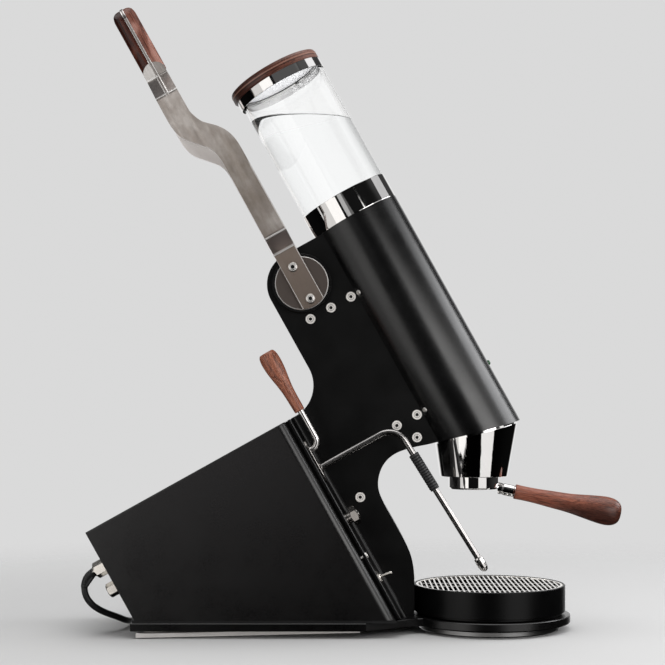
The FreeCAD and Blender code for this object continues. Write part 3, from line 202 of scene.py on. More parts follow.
def powder(name, colour, rough, grain=0.35, strength=0.10, spec=0.5, ior=1.5):
    """satin powder coat: fine orange peel, soft cloudy gloss"""
    m = Mat(name)
    fine = m.noise(m.coord((grain * MM,) * 3), 3.0, 0.6)
    broad = m.noise(m.coord((0.045,) * 3, loc=(0.01, 0.02, 0.0)), 3.0, 0.55)
    dust = m.noise(m.coord((0.9 * MM,) * 3, loc=(0.3, 0, 0)), 1.0, 0.5)
    lo = tuple(c * 0.82 for c in colour)
    hi = tuple(min(1.0, c * 1.22 + 0.0004) for c in colour)
    col = m.mix(m.range(broad, 0.3, 0.7, 0.0, 1.0), lo, hi)
    speck = m.range(dust, 0.70, 0.80, 0.0, 0.35)
    col = m.mix(speck, col, tuple(c * 2.2 + 0.002 for c in colour))
    m.set("Base Color", col)
    r = m.math("ADD", m.range(broad, 0.3, 0.7, rough - 0.03, rough + 0.04), m.range(fine, 0.3, 0.7, -0.03, 0.03))
    m.set("Roughness", r)
    m.set("Specular IOR Level", spec)
    m.set("IOR", ior)
    m.set("Normal", m.bump(fine, strength, 0.00012))
    return m.m


def brushed(name, colour, rough, rot=(0, 0, 0), along=0.03, across=0.00022, strength=0.12, blotch=0.1, contrast=0.10):
    """brushed metal, the strokes run along the turned frame's Z"""
    m = Mat(name)
    streak = m.noise(m.coord((across, across, along), rot), 4.0, 0.65)
    wide = m.noise(m.coord((across * 9, across * 9, along * 2.5), rot, (0.05, 0.02, 0.01)), 3.0, 0.6)
    cloud = m.noise(m.coord((0.035,) * 3, rot, (0.2, 0.1, 0.0)), 3.0, 0.55)
    lo = tuple(c * (1 - contrast) for c in colour)
    hi = tuple(min(1.0, c * (1 + contrast)) for c in colour)
    col = m.mix(m.range(streak, 0.3, 0.7, 0.0, 1.0), lo, hi)
    warm = (colour[0] * 0.98, colour[1] * 0.93, colour[2] * 0.89)
    col = m.mix(m.range(cloud, 0.35, 0.65, 0.0, blotch * 4), col, warm)
    m.set("Base Color", col)
    m.set("Metallic", 1.0)
    r = m.math("ADD", m.range(wide, 0.3, 0.7, rough - 0.04, rough + 0.05), m.range(streak, 0.3, 0.7, -0.05, 0.05))
    m.set("Roughness", r)
    m.set("Normal", m.bump(streak, strength, 0.00006))
    return m.m


def polished(name, colour, rough, smear=0.02):
    """polished plating with faint wiping marks and a slight waviness"""
    m = Mat(name, Metallic=1.0)
    marks = m.noise(m.coord((0.0035, 0.0035, 0.028), (0.2, -TILT, 0.3)), 4.0, 0.6)
    wave = m.noise(m.coord((0.018,) * 3), 1.0, 0.4)
    lo = tuple(c * 0.965 for c in colour)
    m.set("Base Color", m.mix(m.range(marks, 0.35, 0.65, 0.0, 1.0), lo, colour))
    m.set("Roughness", m.range(marks, 0.35, 0.75, rough, rough + smear))
    m.set("Normal", m.bump(wave, 0.02, 0.0006))
    return m.m


def walnut(name, rot, loc=(0, 0, 0), light=1.0, rough=0.40, ring=0.0036, tone=(1.0, 1.0, 1.0), contrast=1.0, groove=None, deep=None, fine=1.0, patch=None):
    """oiled walnut, the grain runs along the turned frame's Z"""
    m = Mat(name)
    base = m.coord((0.010, 0.010, 0.085), rot, loc)
    warp = m.noise(base, 3.0, 0.55, 0.6)
    v = m.node("VectorMath", {"operation": "MULTIPLY_ADD"}, i0=m.node("CombineXYZ", None, X=warp, Y=warp, Z=0.0).outputs[0], i1=(1.5, 1.1, 0.0), i2=m.coord((ring, ring * 1.5, 0.16), rot, loc))
    rings = m.noise(v.outputs[0], 3.0, 0.60, 0.35, 1.0)
    fibre = m.noise(m.coord((0.00055, 0.00055, 0.016), rot, loc), 3.0, 0.65)
    vein = m.noise(m.coord((0.0010, 0.0010, 0.075), rot, (loc[0] + 0.3, loc[1], loc[2])), 2.0, 0.5, 0.3)
    pores = m.noise(m.coord((0.00030, 0.00030, 0.0100), rot, (loc[0] + 0.1, loc[1], loc[2])), 2.0, 0.5)
    broad = m.noise(m.coord((0.03, 0.03, 0.09), rot, (loc[0] + 0.5, loc[1], loc[2])), 2.0, 0.5)

    def c(r, g, b):
        mid = (0.135, 0.040, 0.024)
        return tuple(min(0.9, max(0.0012, (o + (x - o) * contrast) * light * t)) for o, x, t in zip(mid, (r, g, b), tone))
    col = m.ramp(rings, [
        (0.26, c(0.022, 0.0060, 0.0040)),
        (0.40, c(0.082, 0.0220, 0.0130)),
        (0.50, c(0.165, 0.0500, 0.0300)),
        (0.58, c(0.088, 0.0240, 0.0140)),
        (0.72, c(0.255, 0.0900, 0.0560))])
    col = m.mix(m.range(broad, 0.3, 0.7, 0.0, 0.40), col, c(0.125, 0.0310, 0.0180))
    col = m.mix(m.range(fibre, 0.40, 0.72, 0.0, 0.50 * fine), col, c(0.36, 0.155, 0.105))
    col = m.mix(m.range(vein, 0.34, 0.44, 0.70, 0.0), col, c(0.020, 0.0050, 0.0035))
    pit = m.range(pores, 0.30, 0.40, 1.0, 0.0)
    col = m.mix(m.math("MULTIPLY", pit, 0.75 * fine), col, c(0.016, 0.0045, 0.0030))
    if patch is not None:                             # palm-worn and darker stretches along a grip
        worn = m.noise(m.coord((0.016, 0.016, 0.030), rot, (loc[0] + 0.7, loc[1], loc[2] + patch)), 2.0, 0.5, 0.4)
        col = m.mix(m.range(worn, 0.52, 0.66, 0.0, 0.75), col, c(0.052, 0.0160, 0.0100))
        col = m.mix(m.range(worn, 0.34, 0.46, 0.60, 0.0), col, c(0.31, 0.135, 0.098))
    if deep is not None:                              # the fat end darkened, strongest below mid-height: painted shade on its underside
        xyz = m.node("SeparateXYZ", None, i0=m.tc.outputs["Object"])
        reach = m.math("ADD", xyz.outputs[0], m.math("MULTIPLY", rings, 0.03))
        underside_shade = m.range(m.math("ADD", xyz.outputs[2], m.math("MULTIPLY", rings, 0.016)), 0.136, 0.150, 0.80, 0.12)
        col = m.mix(m.math("MULTIPLY", m.range(reach, deep[0], deep[1], 0.0, 1.0), underside_shade), col, c(0.045, 0.0125, 0.0070))
    if groove is not None:
        q = m.node("SeparateXYZ", None, i0=m.coord((MM,) * 3, ALONG, tuple(W(0, 0, 0)))).outputs[2]
        # painted highlight along the groove line, painted shade in a line just below it
        groove_highlight = m.range(m.math("ABSOLUTE", m.math("SUBTRACT", q, groove)), 0.35, 1.0, 0.6, 0.0)
        groove_shade = m.range(m.math("ABSOLUTE", m.math("SUBTRACT", q, groove - 1.5)), 0.20, 0.55, 0.7, 0.0)
        side = m.node("SeparateXYZ", None, i0=m.coord((MM,) * 3, ALONG, tuple(W(0, 0, 0)))).outputs[0]
        # left side darkened as painted shade, right side lightened as painted light
        col = m.mix(m.range(side, -48.0, 18.0, 0.62, 0.0), col, c(0.040, 0.0110, 0.0070))
        col = m.mix(m.range(side, 10.0, 50.0, 0.0, 0.45), col, c(0.34, 0.190, 0.160))
        col = m.mix(groove_highlight, col, c(0.42, 0.22, 0.17))
        col = m.mix(groove_shade, col, c(0.020, 0.0050, 0.0035))
    m.set("Base Color", col)
    m.set("Roughness", m.math("ADD", m.range(fibre, 0.3, 0.7, rough - 0.06, rough + 0.05), m.math("MULTIPLY", pit, 0.15)))
    h = m.math("SUBTRACT", m.math("MULTIPLY", fibre, 0.35), pit)
    m.set("Normal", m.bump(h, 0.16, 0.00010))
    m.set("Specular IOR Level", 0.38)
    m.set("Coat Weight", 0.08)
    m.set("Coat Roughness", 0.28)
    return m.m


def rubber(name, colour, rough=0.6):
    m = Mat(name)
    fine = m.noise(m.coord((0.45 * MM,) * 3), 3.0, 0.6)
    broad = m.noise(m.coord((0.012,) * 3), 2.0, 0.5)
    m.set("Base Color", m.mix(m.range(broad, 0.3, 0.7, 0.0, 1.0), tuple(c * 0.8 for c in colour), tuple(c * 1.25 for c in colour)))
    m.set("Roughness", m.range(fine, 0.3, 0.7, rough - 0.06, rough + 0.06))
    m.set("Normal", m.bump(fine, 0.14, 0.00015))
    return m.m



black_metal = powder("black_metal", (0.0018, 0.0016, 0.0017), 0.29, 0.38, 0.10, 0.56)
black_plate = powder("black_plate", (0.0022, 0.0022, 0.0023), 0.36, 0.34, 0.12, 0.32)
black_barrel = powder("black_barrel", (0.0022, 0.0022, 0.0024), 0.25, 0.26, 0.05, 0.55)
black_tray = powder("black_tray", (0.0010, 0.0010, 0.0011), 0.34, 0.32, 0.10, 0.20)
black_inside = powder("black_inside", (0.0100, 0.0100, 0.0105), 0.55, 0.50, 0.10, 0.35)


def foot_mat():
    """machined foot plates: the rear one bright along its cut edge, the front disc darker as painted shade and smoother
    """
    m = Mat("silver_foot", Metallic=1.0)
    rot = (math.radians(90), 0, math.radians(90))
    streak = m.noise(m.coord((0.0003, 0.0003, 0.02), rot), 4.0, 0.65)
    cloud = m.noise(m.coord((0.03,) * 3), 3.0, 0.55)
    x = m.node("SeparateXYZ", None, i0=m.tc.outputs["Object"]).outputs[0]
    front = m.range(x, 0.04, 0.06, 0.0, 1.0)
    rear_col = m.mix(m.range(streak, 0.3, 0.7, 0.0, 1.0), (0.86, 0.84, 0.82), (0.96, 0.94, 0.92))
    # the front disc's darker colour is painted shade
    front_shade_col = m.mix(m.range(streak, 0.3, 0.7, 0.0, 1.0), (0.22, 0.22, 0.22), (0.30, 0.30, 0.30))
    m.set("Base Color", m.mix(m.range(cloud, 0.3, 0.7, 0.0, 0.15), m.mix(front, rear_col, front_shade_col), (0.25, 0.24, 0.23)))
    m.set("Roughness", m.math("ADD", m.range(streak, 0.3, 0.7, 0.46, 0.56), m.math("MULTIPLY", front, -0.16)))
    m.set("Normal", m.bump(streak, 0.12, 0.00006))
    return m.m


silver_foot = foot_mat()
chrome = polished("chrome", (0.80, 0.79, 0.78), 0.035, 0.035)


def cap_mat():
    """polished cap with a pale seal plate on its underside"""
    m = Mat("cap_chrome")
    marks = m.noise(m.coord((0.0035, 0.0035, 0.028), (0.2, -TILT, 0.3)), 4.0, 0.6)
    fine = m.noise(m.coord((0.0009,) * 3), 3.0, 0.6)
    facing = m.node("VectorMath", {"operation": "DOT_PRODUCT"}, i0=m.tc.outputs["Normal"], i1=tuple(A_DIR)).outputs["Value"]
    q = m.node("SeparateXYZ", None, i0=m.coord((MM,) * 3, ALONG, tuple(W(0, 0, 0)))).outputs[2]
    plate = m.math("MULTIPLY", m.range(facing, -0.6, -0.9, 0.0, 1.0), m.range(q, 168.0, 169.0, 0.0, 1.0))
    axis = m.node("SeparateXYZ", None, i0=m.coord((MM,) * 3, ALONG, tuple(W(-0.7, 0, 0)))).outputs
    rad = m.math("SQRT", m.math("ADD", m.math("MULTIPLY", axis[0], axis[0]), m.math("MULTIPLY", axis[1], axis[1])))
    lip = m.math("MULTIPLY", m.range(rad, 44.2, 44.7, 0.0, 1.0), plate)
    metal = m.mix(m.range(marks, 0.35, 0.65, 0.0, 1.0), (0.77, 0.76, 0.75), (0.80, 0.79, 0.78))
    seal = m.mix(m.range(fine, 0.3, 0.7, 0.0, 1.0), (0.93, 0.93, 0.95), (0.97, 0.97, 0.99))
    m.set("Base Color", m.mix(lip, m.mix(plate, metal, seal), (0.035, 0.035, 0.038)))
    m.set("Metallic", m.math("SUBTRACT", 1.0, plate))
    m.set("Roughness", m.math("ADD", m.range(marks, 0.35, 0.75, 0.035, 0.07), m.math("MULTIPLY", plate, 0.45)))
    m.set("Normal", m.bump(fine, 0.02, 0.0001))
    return m.m


cap_chrome = cap_mat()
chrome_tube = polished("chrome_tube", (0.70, 0.68, 0.665), 0.20, 0.05)
# the wand tube's chrome is a darker copy of the chrome: painted shade that tones down its reflections
chrome_wand_shaded = polished("chrome_wand_shaded", (0.40, 0.385, 0.378), 0.22, 0.05)
nickel = polished("nickel", (0.78, 0.75, 0.70), 0.20, 0.10)
fitting_nickel = polished("fitting_nickel", (0.30, 0.285, 0.27), 0.20, 0.06)


def sleeve_mat():
    """moulded sleeve: paler ring tops, the grooves between painted dark as shade"""
    m = Mat("grip_rubber")
    fine = m.noise(m.coord((0.45 * MM,) * 3), 3.0, 0.6)
    start = W(-74.2, -56, -220.6)
    down = W(-74.2 + 0.0485, -56, -220.6 - 0.9988) - start
    off = m.node("VectorMath", {"operation": "SUBTRACT"}, i0=m.tc.outputs["Object"], i1=tuple(start)).outputs[0]
    run = m.node("VectorMath", {"operation": "DOT_PRODUCT"}, i0=off, i1=tuple(down.normalized() / MM)).outputs["Value"]
    part = m.math("FRACT", m.math("DIVIDE", m.math("ADD", run, -34.6), 42.2 / 14))
    top = m.math("MULTIPLY", m.range(part, 0.0, 0.16, 0.0, 1.0), m.range(part, 0.60, 0.80, 1.0, 0.0))
    col = m.mix(m.range(fine, 0.3, 0.7, 0.0, 1.0), (0.020, 0.020, 0.021), (0.040, 0.040, 0.042))
    # grooves between the ring tops painted dark: painted shade
    m.set("Base Color", m.mix(top, (0.0035, 0.0035, 0.0037), col))
    m.set("Roughness", m.range(fine, 0.3, 0.7, 0.40, 0.52))
    m.set("Normal", m.bump(top, 0.6, 0.0004, m.bump(fine, 0.14, 0.00015)))
    return m.m


grip_rubber = sleeve_mat()


def barrel_frame(m):
    """p, y and q of a surface point, in millimetres"""
    return m.node("SeparateXYZ", None, i0=m.coord((MM,) * 3, ALONG, tuple(W(0, 0, 0)))).outputs


def band(m, value, centre, half, soft):
    """1 within half of the centre, falling to 0 over soft"""
    return m.range(m.math("ABSOLUTE", m.math("SUBTRACT", value, centre)), half, half + soft, 1.0, 0.0)


def twin_line(m, p):
    """painted highlights on the two edges of the tang and of the rib below it, and painted shade on the strip between
    """
    off = m.math("ABSOLUTE", m.math("ADD", p, 115.0))
    return band(m, off, 1.55, 0.30, 0.30), m.range(off, 0.75, 1.15, 1.0, 0.0)


BENDS = (3.7, 20.9, 207.5, 237.4)  # the folds of the arm's strip on its outer face, along the barrel


def lever_mat(name, pale):
    """brushed arm, blotched by handling, with painted highlights on its folds, its cut edges and the rib under the
    tang, and painted shade by the hub, on the shoulder and beside the rib
    """
    m = Mat(name, Metallic=1.0)
    streak = m.noise(m.coord((0.00030, 0.00030, 0.035), ALONG), 4.0, 0.65)
    wide = m.noise(m.coord((0.0027, 0.0027, 0.09), ALONG, (0.05, 0.02, 0.01)), 3.0, 0.6)
    cloud = m.noise(m.coord((0.011, 0.011, 0.019), ALONG, (0.2, 0.1, 0.0)), 4.0, 0.62)
    p, y, q = barrel_frame(m)
    patch = m.noise(m.coord((0.014, 0.014, 0.034), ALONG, (0.07, 0.3, 0.0)), 2.0, 0.5)
    col = m.mix(m.range(streak, 0.3, 0.7, 0.0, 1.0), (0.48, 0.445, 0.42), (0.60, 0.56, 0.53))
    col = m.mix(m.range(cloud, 0.40, 0.62, 0.0, 0.60), col, (0.33, 0.285, 0.255))
    col = m.mix(m.range(patch, 0.38, 0.60, 0.50, 0.0), col, (0.25, 0.21, 0.185))
    # darker blotches along the middle of the arm
    mid_arm_dark = m.math("MULTIPLY", m.range(q, 34.0, 62.0, 0.15, 1.0), m.range(q, 104.0, 150.0, 1.0, 0.15))
    col = m.mix(m.math("MULTIPLY", mid_arm_dark, m.range(cloud, 0.36, 0.62, 0.55, 0.85)), col, (0.25, 0.215, 0.185))
    # the far arm's copy is lightened: painted light
    if pale:
        col = m.mix(0.9, col, (0.97, 0.93, 0.91))
    # darker towards the hub: painted shade
    low = m.range(q, 0.0, 30.0, 1.0, 0.0)
    col = m.mix(m.math("MULTIPLY", low, 0.9), col, (0.27, 0.215, 0.180))
    # the step face between the lower folds lightened: painted reflection
    col = m.mix(m.math("MULTIPLY", band(m, q, 12.3, 8.0, 0.6), 0.85), col, (0.70, 0.60, 0.57))
    shoulder_mask = m.range(q, 206.0, 207.0, 0.0, 1.0)       # the shoulder darkened: painted shade
    col = m.mix(m.math("MULTIPLY", shoulder_mask, 0.55), col, (0.24, 0.225, 0.215))
    # on the left: the slanted part beside the tang darkened as painted shadow, the cheek above it lightened as painted
    # reflection
    left = m.math("MULTIPLY", m.range(p, -117.2, -116.6, 1.0, 0.0), shoulder_mask)
    lower = m.range(q, 233.0, 235.5, 1.0, 0.0)
    col = m.mix(m.math("MULTIPLY", m.math("MULTIPLY", left, lower), 0.75), col, (0.13, 0.12, 0.115))
    col = m.mix(m.math("MULTIPLY", m.math("MULTIPLY", left, m.range(q, 236.0, 238.0, 0.0, 1.0)), 0.7), col, (0.80, 0.78, 0.76))
    rib_edge_highlight, rib_mid_shade = twin_line(m, p)
    high = m.range(q, 203.5, 206.5, 0.0, 1.0)
    # painted shade on the rib's middle strip
    col = m.mix(m.math("MULTIPLY", m.math("MULTIPLY", rib_mid_shade, high), 0.55), col, (0.22, 0.20, 0.19))
    # painted highlights along the cut edges, the folds and the rib's edges
    cut = m.math("MULTIPLY", band(m, m.math("ABSOLUTE", m.math("ADD", p, 87.2)), 12.45, 0.20, 0.35), m.range(q, 98.0, 104.0, 1.0, 0.0))
    fold = band(m, q, BENDS[0], 0.70, 0.80)
    fold = m.math("MAXIMUM", fold, band(m, q, BENDS[1], 0.70, 0.80))
    fold = m.math("MAXIMUM", fold, m.math("MULTIPLY", band(m, q, BENDS[2], 0.40, 0.80), m.range(p, -116.0, -112.0, 0.45, 0.75)))
    fold = m.math("MAXIMUM", fold, m.math("MULTIPLY", band(m, q, BENDS[3], 0.40, 0.80), m.range(p, -116.0, -113.0, 0.75, 0.10)))
    painted_highlight = m.math("MAXIMUM", m.math("MAXIMUM", m.math("MULTIPLY", rib_edge_highlight, high), m.math("MULTIPLY", cut, 0.8)), fold)
    m.set("Base Color", m.mix(painted_highlight, col, (0.97, 0.95, 0.93)))
    r = m.math("ADD", m.range(wide, 0.3, 0.7, 0.31, 0.40), m.range(streak, 0.3, 0.7, -0.05, 0.05))
    m.set("Roughness", m.math("ADD", r, m.math("MULTIPLY", painted_highlight, 0.22)))
    m.set("Normal", m.bump(fold, 1.0, 0.0006, m.bump(streak, 0.14, 0.00006)))
    return m.m


def tang_mat():
    """the tang's edge between the two grips: painted highlights on its corners, painted shade in its middle"""
    m = Mat("tang_steel", Metallic=1.0)
    streak = m.noise(m.coord((0.00025, 0.00025, 0.02), ALONG), 4.0, 0.65)
    edge, mid = twin_line(m, barrel_frame(m)[0])
    col = m.mix(m.range(streak, 0.3, 0.7, 0.0, 1.0), (0.60, 0.58, 0.56), (0.72, 0.70, 0.68))
    # painted shade in the middle strip of the tang's edge, painted highlights on its two corners
    col = m.mix(m.math("MULTIPLY", mid, 0.85), col, (0.16, 0.14, 0.13))
    m.set("Base Color", m.mix(edge, col, (0.86, 0.84, 0.82)))
    m.set("Roughness", m.range(streak, 0.3, 0.7, 0.27, 0.36))
    m.set("Normal", m.bump(streak, 0.10, 0.00006))
    return m.m


lever_steel = lever_mat("lever_steel", False)
lever_steel_lit = lever_mat("lever_steel_lit", True)
tang_steel = tang_mat()
steel_inner = brushed("steel_inner", (0.50, 0.50, 0.50), 0.28, ALONG, 0.01, 0.00025)
boiler_steel = brushed("boiler_steel", (0.50, 0.49, 0.47), 0.34, (0, 0, 0), 0.02, 0.0003)
wire_steel = polished("wire_steel", (0.93, 0.91, 0.88), 0.24, 0.08)
wood_grip = walnut("walnut_grip", ALONG, (0.012, 0.004, 0.02), 1.82, tone=(0.94, 1.10, 1.22), contrast=1.35, fine=0.45, patch=0.0)
# the rear grip's walnut is a darker copy of the grip walnut: painted shade
wood_grip_shaded = walnut("walnut_grip_shaded", ALONG, (0.05, 0.013, 0.06), 0.56, tone=(1.0, 0.68, 0.56), contrast=1.5, fine=0.5, patch=0.04)
wood_knob = walnut("walnut_knob", ALONG, (0.021, 0.031, 0.01), 1.86, tone=(1.0, 1.0, 0.92), contrast=1.45)
wood_lid = walnut("walnut_lid", (0, math.radians(90) - TILT, 0), (0.013, 0.002, 0.03), 1.0, 0.42, 0.0026, tone=(0.96, 0.95, 0.93), contrast=1.3, groove=178.3, fine=0.7)
wood_handle = walnut("walnut_handle", (0, math.radians(102), 0), (0.004, 0.017, 0.05), 1.42, tone=(1.07, 0.93, 0.83), contrast=1.40, deep=(0.215, 0.246))
pad_rubber = rubber("pad_rubber", (0.014, 0.014, 0.014), 0.65)

cord_rubber = rubber("cord_rubber", (0.020, 0.020, 0.021), 0.45)
plug_plastic = rubber("plug_plastic", (0.016, 0.016, 0.017), 0.42)
gasket = rubber("gasket", (0.05, 0.045, 0.04), 0.6)


def turned(name, colour, rough, centre, pitch=0.00035, axis="Y", rim=None):
    """lathe-turned face: rings about an axis through centre"""
    m = Mat(name, Metallic=1.0)
    off = m.node("VectorMath", {"operation": "SUBTRACT"}, i0=m.tc.outputs["Object"], i1=tuple(centre))
    keep = (1.0, 0.0, 1.0) if axis == "Y" else (1.0, 1.0, 0.0)
    flat = m.node("VectorMath", {"operation": "MULTIPLY"}, i0=off.outputs[0], i1=keep)
    dist = m.node("VectorMath", {"operation": "LENGTH"}, i0=flat.outputs[0]).outputs["Value"]
    rings = m.node("TexNoise", {"noise_dimensions": "1D"}, W=m.math("DIVIDE", dist, pitch), Scale=1.0, Detail=3.0).outputs["Fac"]
    cloud = m.noise(m.coord((0.012,) * 3), 3.0, 0.55)
    lo = tuple(c * 0.86 for c in colour)
    hi = tuple(min(1, c * 1.12) for c in colour)
    col = m.mix(m.math("MULTIPLY_ADD", rings, 0.6, m.math("MULTIPLY", cloud, 0.4)), lo, hi)
    r = m.range(rings, 0.3, 0.7, rough - 0.05, rough + 0.06)
    if rim is not None:
        worn = m.range(dist, rim - 0.0012, rim - 0.0008, 0.0, 1.0)
        col = m.mix(worn, col, (0.98, 0.96, 0.94))
        r = m.math("ADD", r, m.math("MULTIPLY", worn, 0.30))
    m.set("Base Color", col)
    m.set("Roughness", r)
    m.set("Normal", m.bump(rings, 0.10, 0.00005))
    return m.m


PIV = W(-87.6, 0, -36.2)
hub_steel = turned("hub_steel", (0.30, 0.250, 0.225), 0.36, PIV, rim=0.0289)


def screw_mat(name, centres, socket_y):
    """zinc-plated heads: bright rim, painted shade over a turned groove ring and the outer edge, hexagon socket painted
    dark as shade
    """
    m = Mat(name, Metallic=1.0)
    marks = m.noise(m.coord((0.0008,) * 3), 3.0, 0.6)
    flat = m.node("VectorMath", {"operation": "MULTIPLY"}, i0=m.tc.outputs["Object"], i1=(1.0, 0.0, 1.0)).outputs[0]
    near = None
    for c in centres:
        d = m.node("VectorMath", {"operation": "DISTANCE"}, i0=flat, i1=(c.x, 0.0, c.z)).outputs["Value"]
        near = d if near is None else m.math("MINIMUM", near, d)
    mm = m.math("MULTIPLY", near, 1000.0)
    deep = m.range(m.math("ABSOLUTE", m.node("SeparateXYZ", None, i0=m.tc.outputs["Object"]).outputs[1]), (socket_y - 0.5) * MM, (socket_y - 0.2) * MM, 1.0, 0.0)
    # the hexagon socket painted dark: painted shade in the recess
    socket = m.math("MULTIPLY", m.range(mm, 2.3, 2.6, 1.0, 0.0), deep)
    # painted shade in the turned groove ring and over the head's outer edge
    ring = m.math("MAXIMUM", band(m, mm, 3.15, 0.18, 0.30), m.range(mm, 5.15, 5.5, 0.0, 0.8))
    ring = m.math("MULTIPLY", ring, m.range(mm, 6.2, 6.4, 1.0, 0.0))
    col = m.mix(m.range(marks, 0.3, 0.7, 0.0, 1.0), (0.88, 0.86, 0.83), (0.97, 0.95, 0.92))
    col = m.mix(m.math("MULTIPLY", ring, 0.7), col, (0.22, 0.21, 0.20))
    m.set("Base Color", m.mix(socket, col, (0.03, 0.03, 0.03)))
    m.set("Roughness", m.range(marks, 0.3, 0.7, 0.40, 0.50))
    m.set("Normal", m.bump(m.math("SUBTRACT", 0.0, ring), 0.25, 0.0002))
    return m.m


def from_xz(x, z):
    """a point of the spine plates, given before the row's shift"""
    return P(x, 0, z)


SPINE_SCREWS = [from_xz(x, z) for x, z in ((-37.3, 337.6), (-15.2, 349.9), (6.4, 361.7), (56.1, 222.4), (77.9, 234.1), (77.9, 209.6), (16.5, 144.9))]
HUB_SCREWS = [W(-87.6, 0, -36.2 + 19.4), W(-87.6, 0, -36.2 - 19.4)]
steel_screw = screw_mat("steel_screw", SPINE_SCREWS, 29.0)
hub_screw = screw_mat("hub_screw", HUB_SCREWS, 43.4)


def glass_mat():
    m = Mat("tank_glass", Transmission_Weight=1.0, IOR=1.47, Base_Color=(0.995, 0.998, 0.997), Specular_IOR_Level=0.5)
    marks = m.noise(m.coord((0.03,) * 3), 2.0, 0.5)
    m.set("Roughness", m.range(marks, 0.35, 0.75, 0.0, 0.012))
    return m.m


def water_mat():
    m = Mat("tank_water", Transmission_Weight=1.0, IOR=1.33, Base_Color=(0.994, 0.998, 1.0), Roughness=0.0)
    ripple = m.noise(m.coord((0.020,) * 3), 1.0, 0.4)
    m.set("Normal", m.bump(ripple, 0.01, 0.0005))
    return m.m


tank_glass = glass_mat()
tank_water = water_mat()


def lamp_mat():
    m = Mat("lamp_green", Transmission_Weight=0.4, IOR=1.49, Emission_Strength=0.03)
    g = m.noise(m.coord((0.0008,) * 3), 2.0, 0.5)
    m.set("Base Color", m.mix(g, (0.006, 0.050, 0.014), (0.010, 0.085, 0.022)))
    m.set("Emission Color", m.mix(g, (0.02, 0.55, 0.12), (0.04, 0.8, 0.2)))
    m.set("Roughness", m.range(g, 0.3, 0.7, 0.10, 0.22))
    return m.m


lamp_green = lamp_mat()


def brass_mat():
    m = Mat("valve_brass", Metallic=1.0)
    g = m.noise(m.coord((0.0012,) * 3), 3.0, 0.6)
    m.set("Base Color", m.mix(g, (0.62, 0.42, 0.18), (0.74, 0.52, 0.24)))
    m.set("Roughness", m.range(g, 0.3, 0.7, 0.24, 0.38))
    m.set("Normal", m.bump(g, 0.08, 0.0001))
    return m.m


valve_brass = brass_mat()

PAINT = {
    black_metal: ["housing_shell", "rear_panel", "base_plate", "pivot_housings", "front_panel"],
    black_plate: ["spine_plate_near", "spine_plate_far", "spine_rear_cover", "spine_front_cover"],
    black_barrel: ["barrel_shell"],
    black_tray: ["drip_tray"],
    black_inside: ["bottom_pan", "spine_spacers"],
    silver_foot: ["metal_feet"],
    pad_rubber: ["foot_pads"],
    cap_chrome: ["tank_lid_cap"],
    chrome: ["tank_ring", "group_head", "portafilter_body", "portafilter_ferrule"],
    chrome_tube: ["wand_tip", "steam_lever_rod"],
    chrome_wand_shaded: ["wand_tube"],
    fitting_nickel: ["relief_fitting", "valve_escutcheon"],
    nickel: ["toggle_body", "toggle_lever", "cord_gland", "drain_plug"],
    lever_steel: ["lever_arm_near"],
    lever_steel_lit: ["lever_arm_far"],
    tang_steel: ["lever_tang"],
    hub_steel: ["lever_hubs"],
    steel_screw: ["chassis_screws"],
    hub_screw: ["lever_screws"],
    steel_inner: ["tank_floor", "brew_cylinder", "piston", "piston_rod", "rack", "pinion", "pivot_shaft", "portafilter_basket", "shower_screen", "heating_element"],
    boiler_steel: ["boiler_vessel"],
    valve_brass: ["steam_valve_body"],
    wood_grip: ["lever_grip_front"],
    wood_grip_shaded: ["lever_grip_rear"],
    wood_knob: ["steam_lever_knob"],
    wood_lid: ["tank_lid_wood"],
    wood_handle: ["portafilter_handle"],
    grip_rubber: ["wand_grip"],
    gasket: ["group_gasket"],
    lamp_green: ["indicator_lamp"],
    tank_glass: ["tank_glass"],
    wire_steel: ["drip_grid"],
    cord_rubber: ["power_cord", "cord_coil"],
    plug_plastic: ["mains_plug"],
}
for material, names in PAINT.items():
    for n in names:
        NODES[n].data.materials.clear()
        NODES[n].data.materials.append(material)


# ---------------------------------------------------------------- helpers for meshes
def link(o):
    scene.collection.objects.link(o)
    return o


def mesh_object(name, verts, faces, material, smooth=True):
    me = bpy.data.meshes.new(name)
    me.from_pydata([tuple(v) for v in verts], [], faces)
    bm = bmesh.new()
    bm.from_mesh(me)
    bmesh.ops.remove_doubles(bm, verts=bm.verts, dist=1e-7)
    bmesh.ops.recalc_face_normals(bm, faces=bm.faces)
    bm.to_mesh(me)
    bm.free()
    for p in me.polygons:
        p.use_smooth = smooth
    me.materials.append(material)
    return link(bpy.data.objects.new(name, me))


# ---------------------------------------------------------------- mains lead
CORD_D = 7.0
CCX, CCY = -158.0, 138.0
lead = [W(-428, -50, -199), P(-271.3, -50, 64.9), P(-276.6, -50, 58.6), P(-278.6, -50, 49.2), P(-276.4, -49.5, 39.6),
        P(-271.2, -46.5, 31.6), P(-264.6, -39.5, 25.0), P(-256.6, -29.5, 19.4), P(-247.2, -16, 13.6), P(-240.0, 2, 7.0),
        P(-237.0, 26, 3.6), P(-235.5, 56, 3.55), P(-229.5, 88, 3.55), P(-213, 118, 3.55)]

TURN = [(15, 42.1, 3.55), (310, 42.1, 3.55), (360, 34.9, 3.55), (620, 34.9, 3.55), (670, 34.9, 10.5), (930, 34.9, 10.5), (980, 42.1, 10.5),
        (1240, 42.1, 10.5), (1290, 42.1, 17.5), (1480, 42.1, 17.5), (1530, 34.9, 17.5), (1750, 34.9, 17.5), (1815, 34.9, 24.6), (1835, 35.2, 24.7), (1885, 38.3, 23.9)]


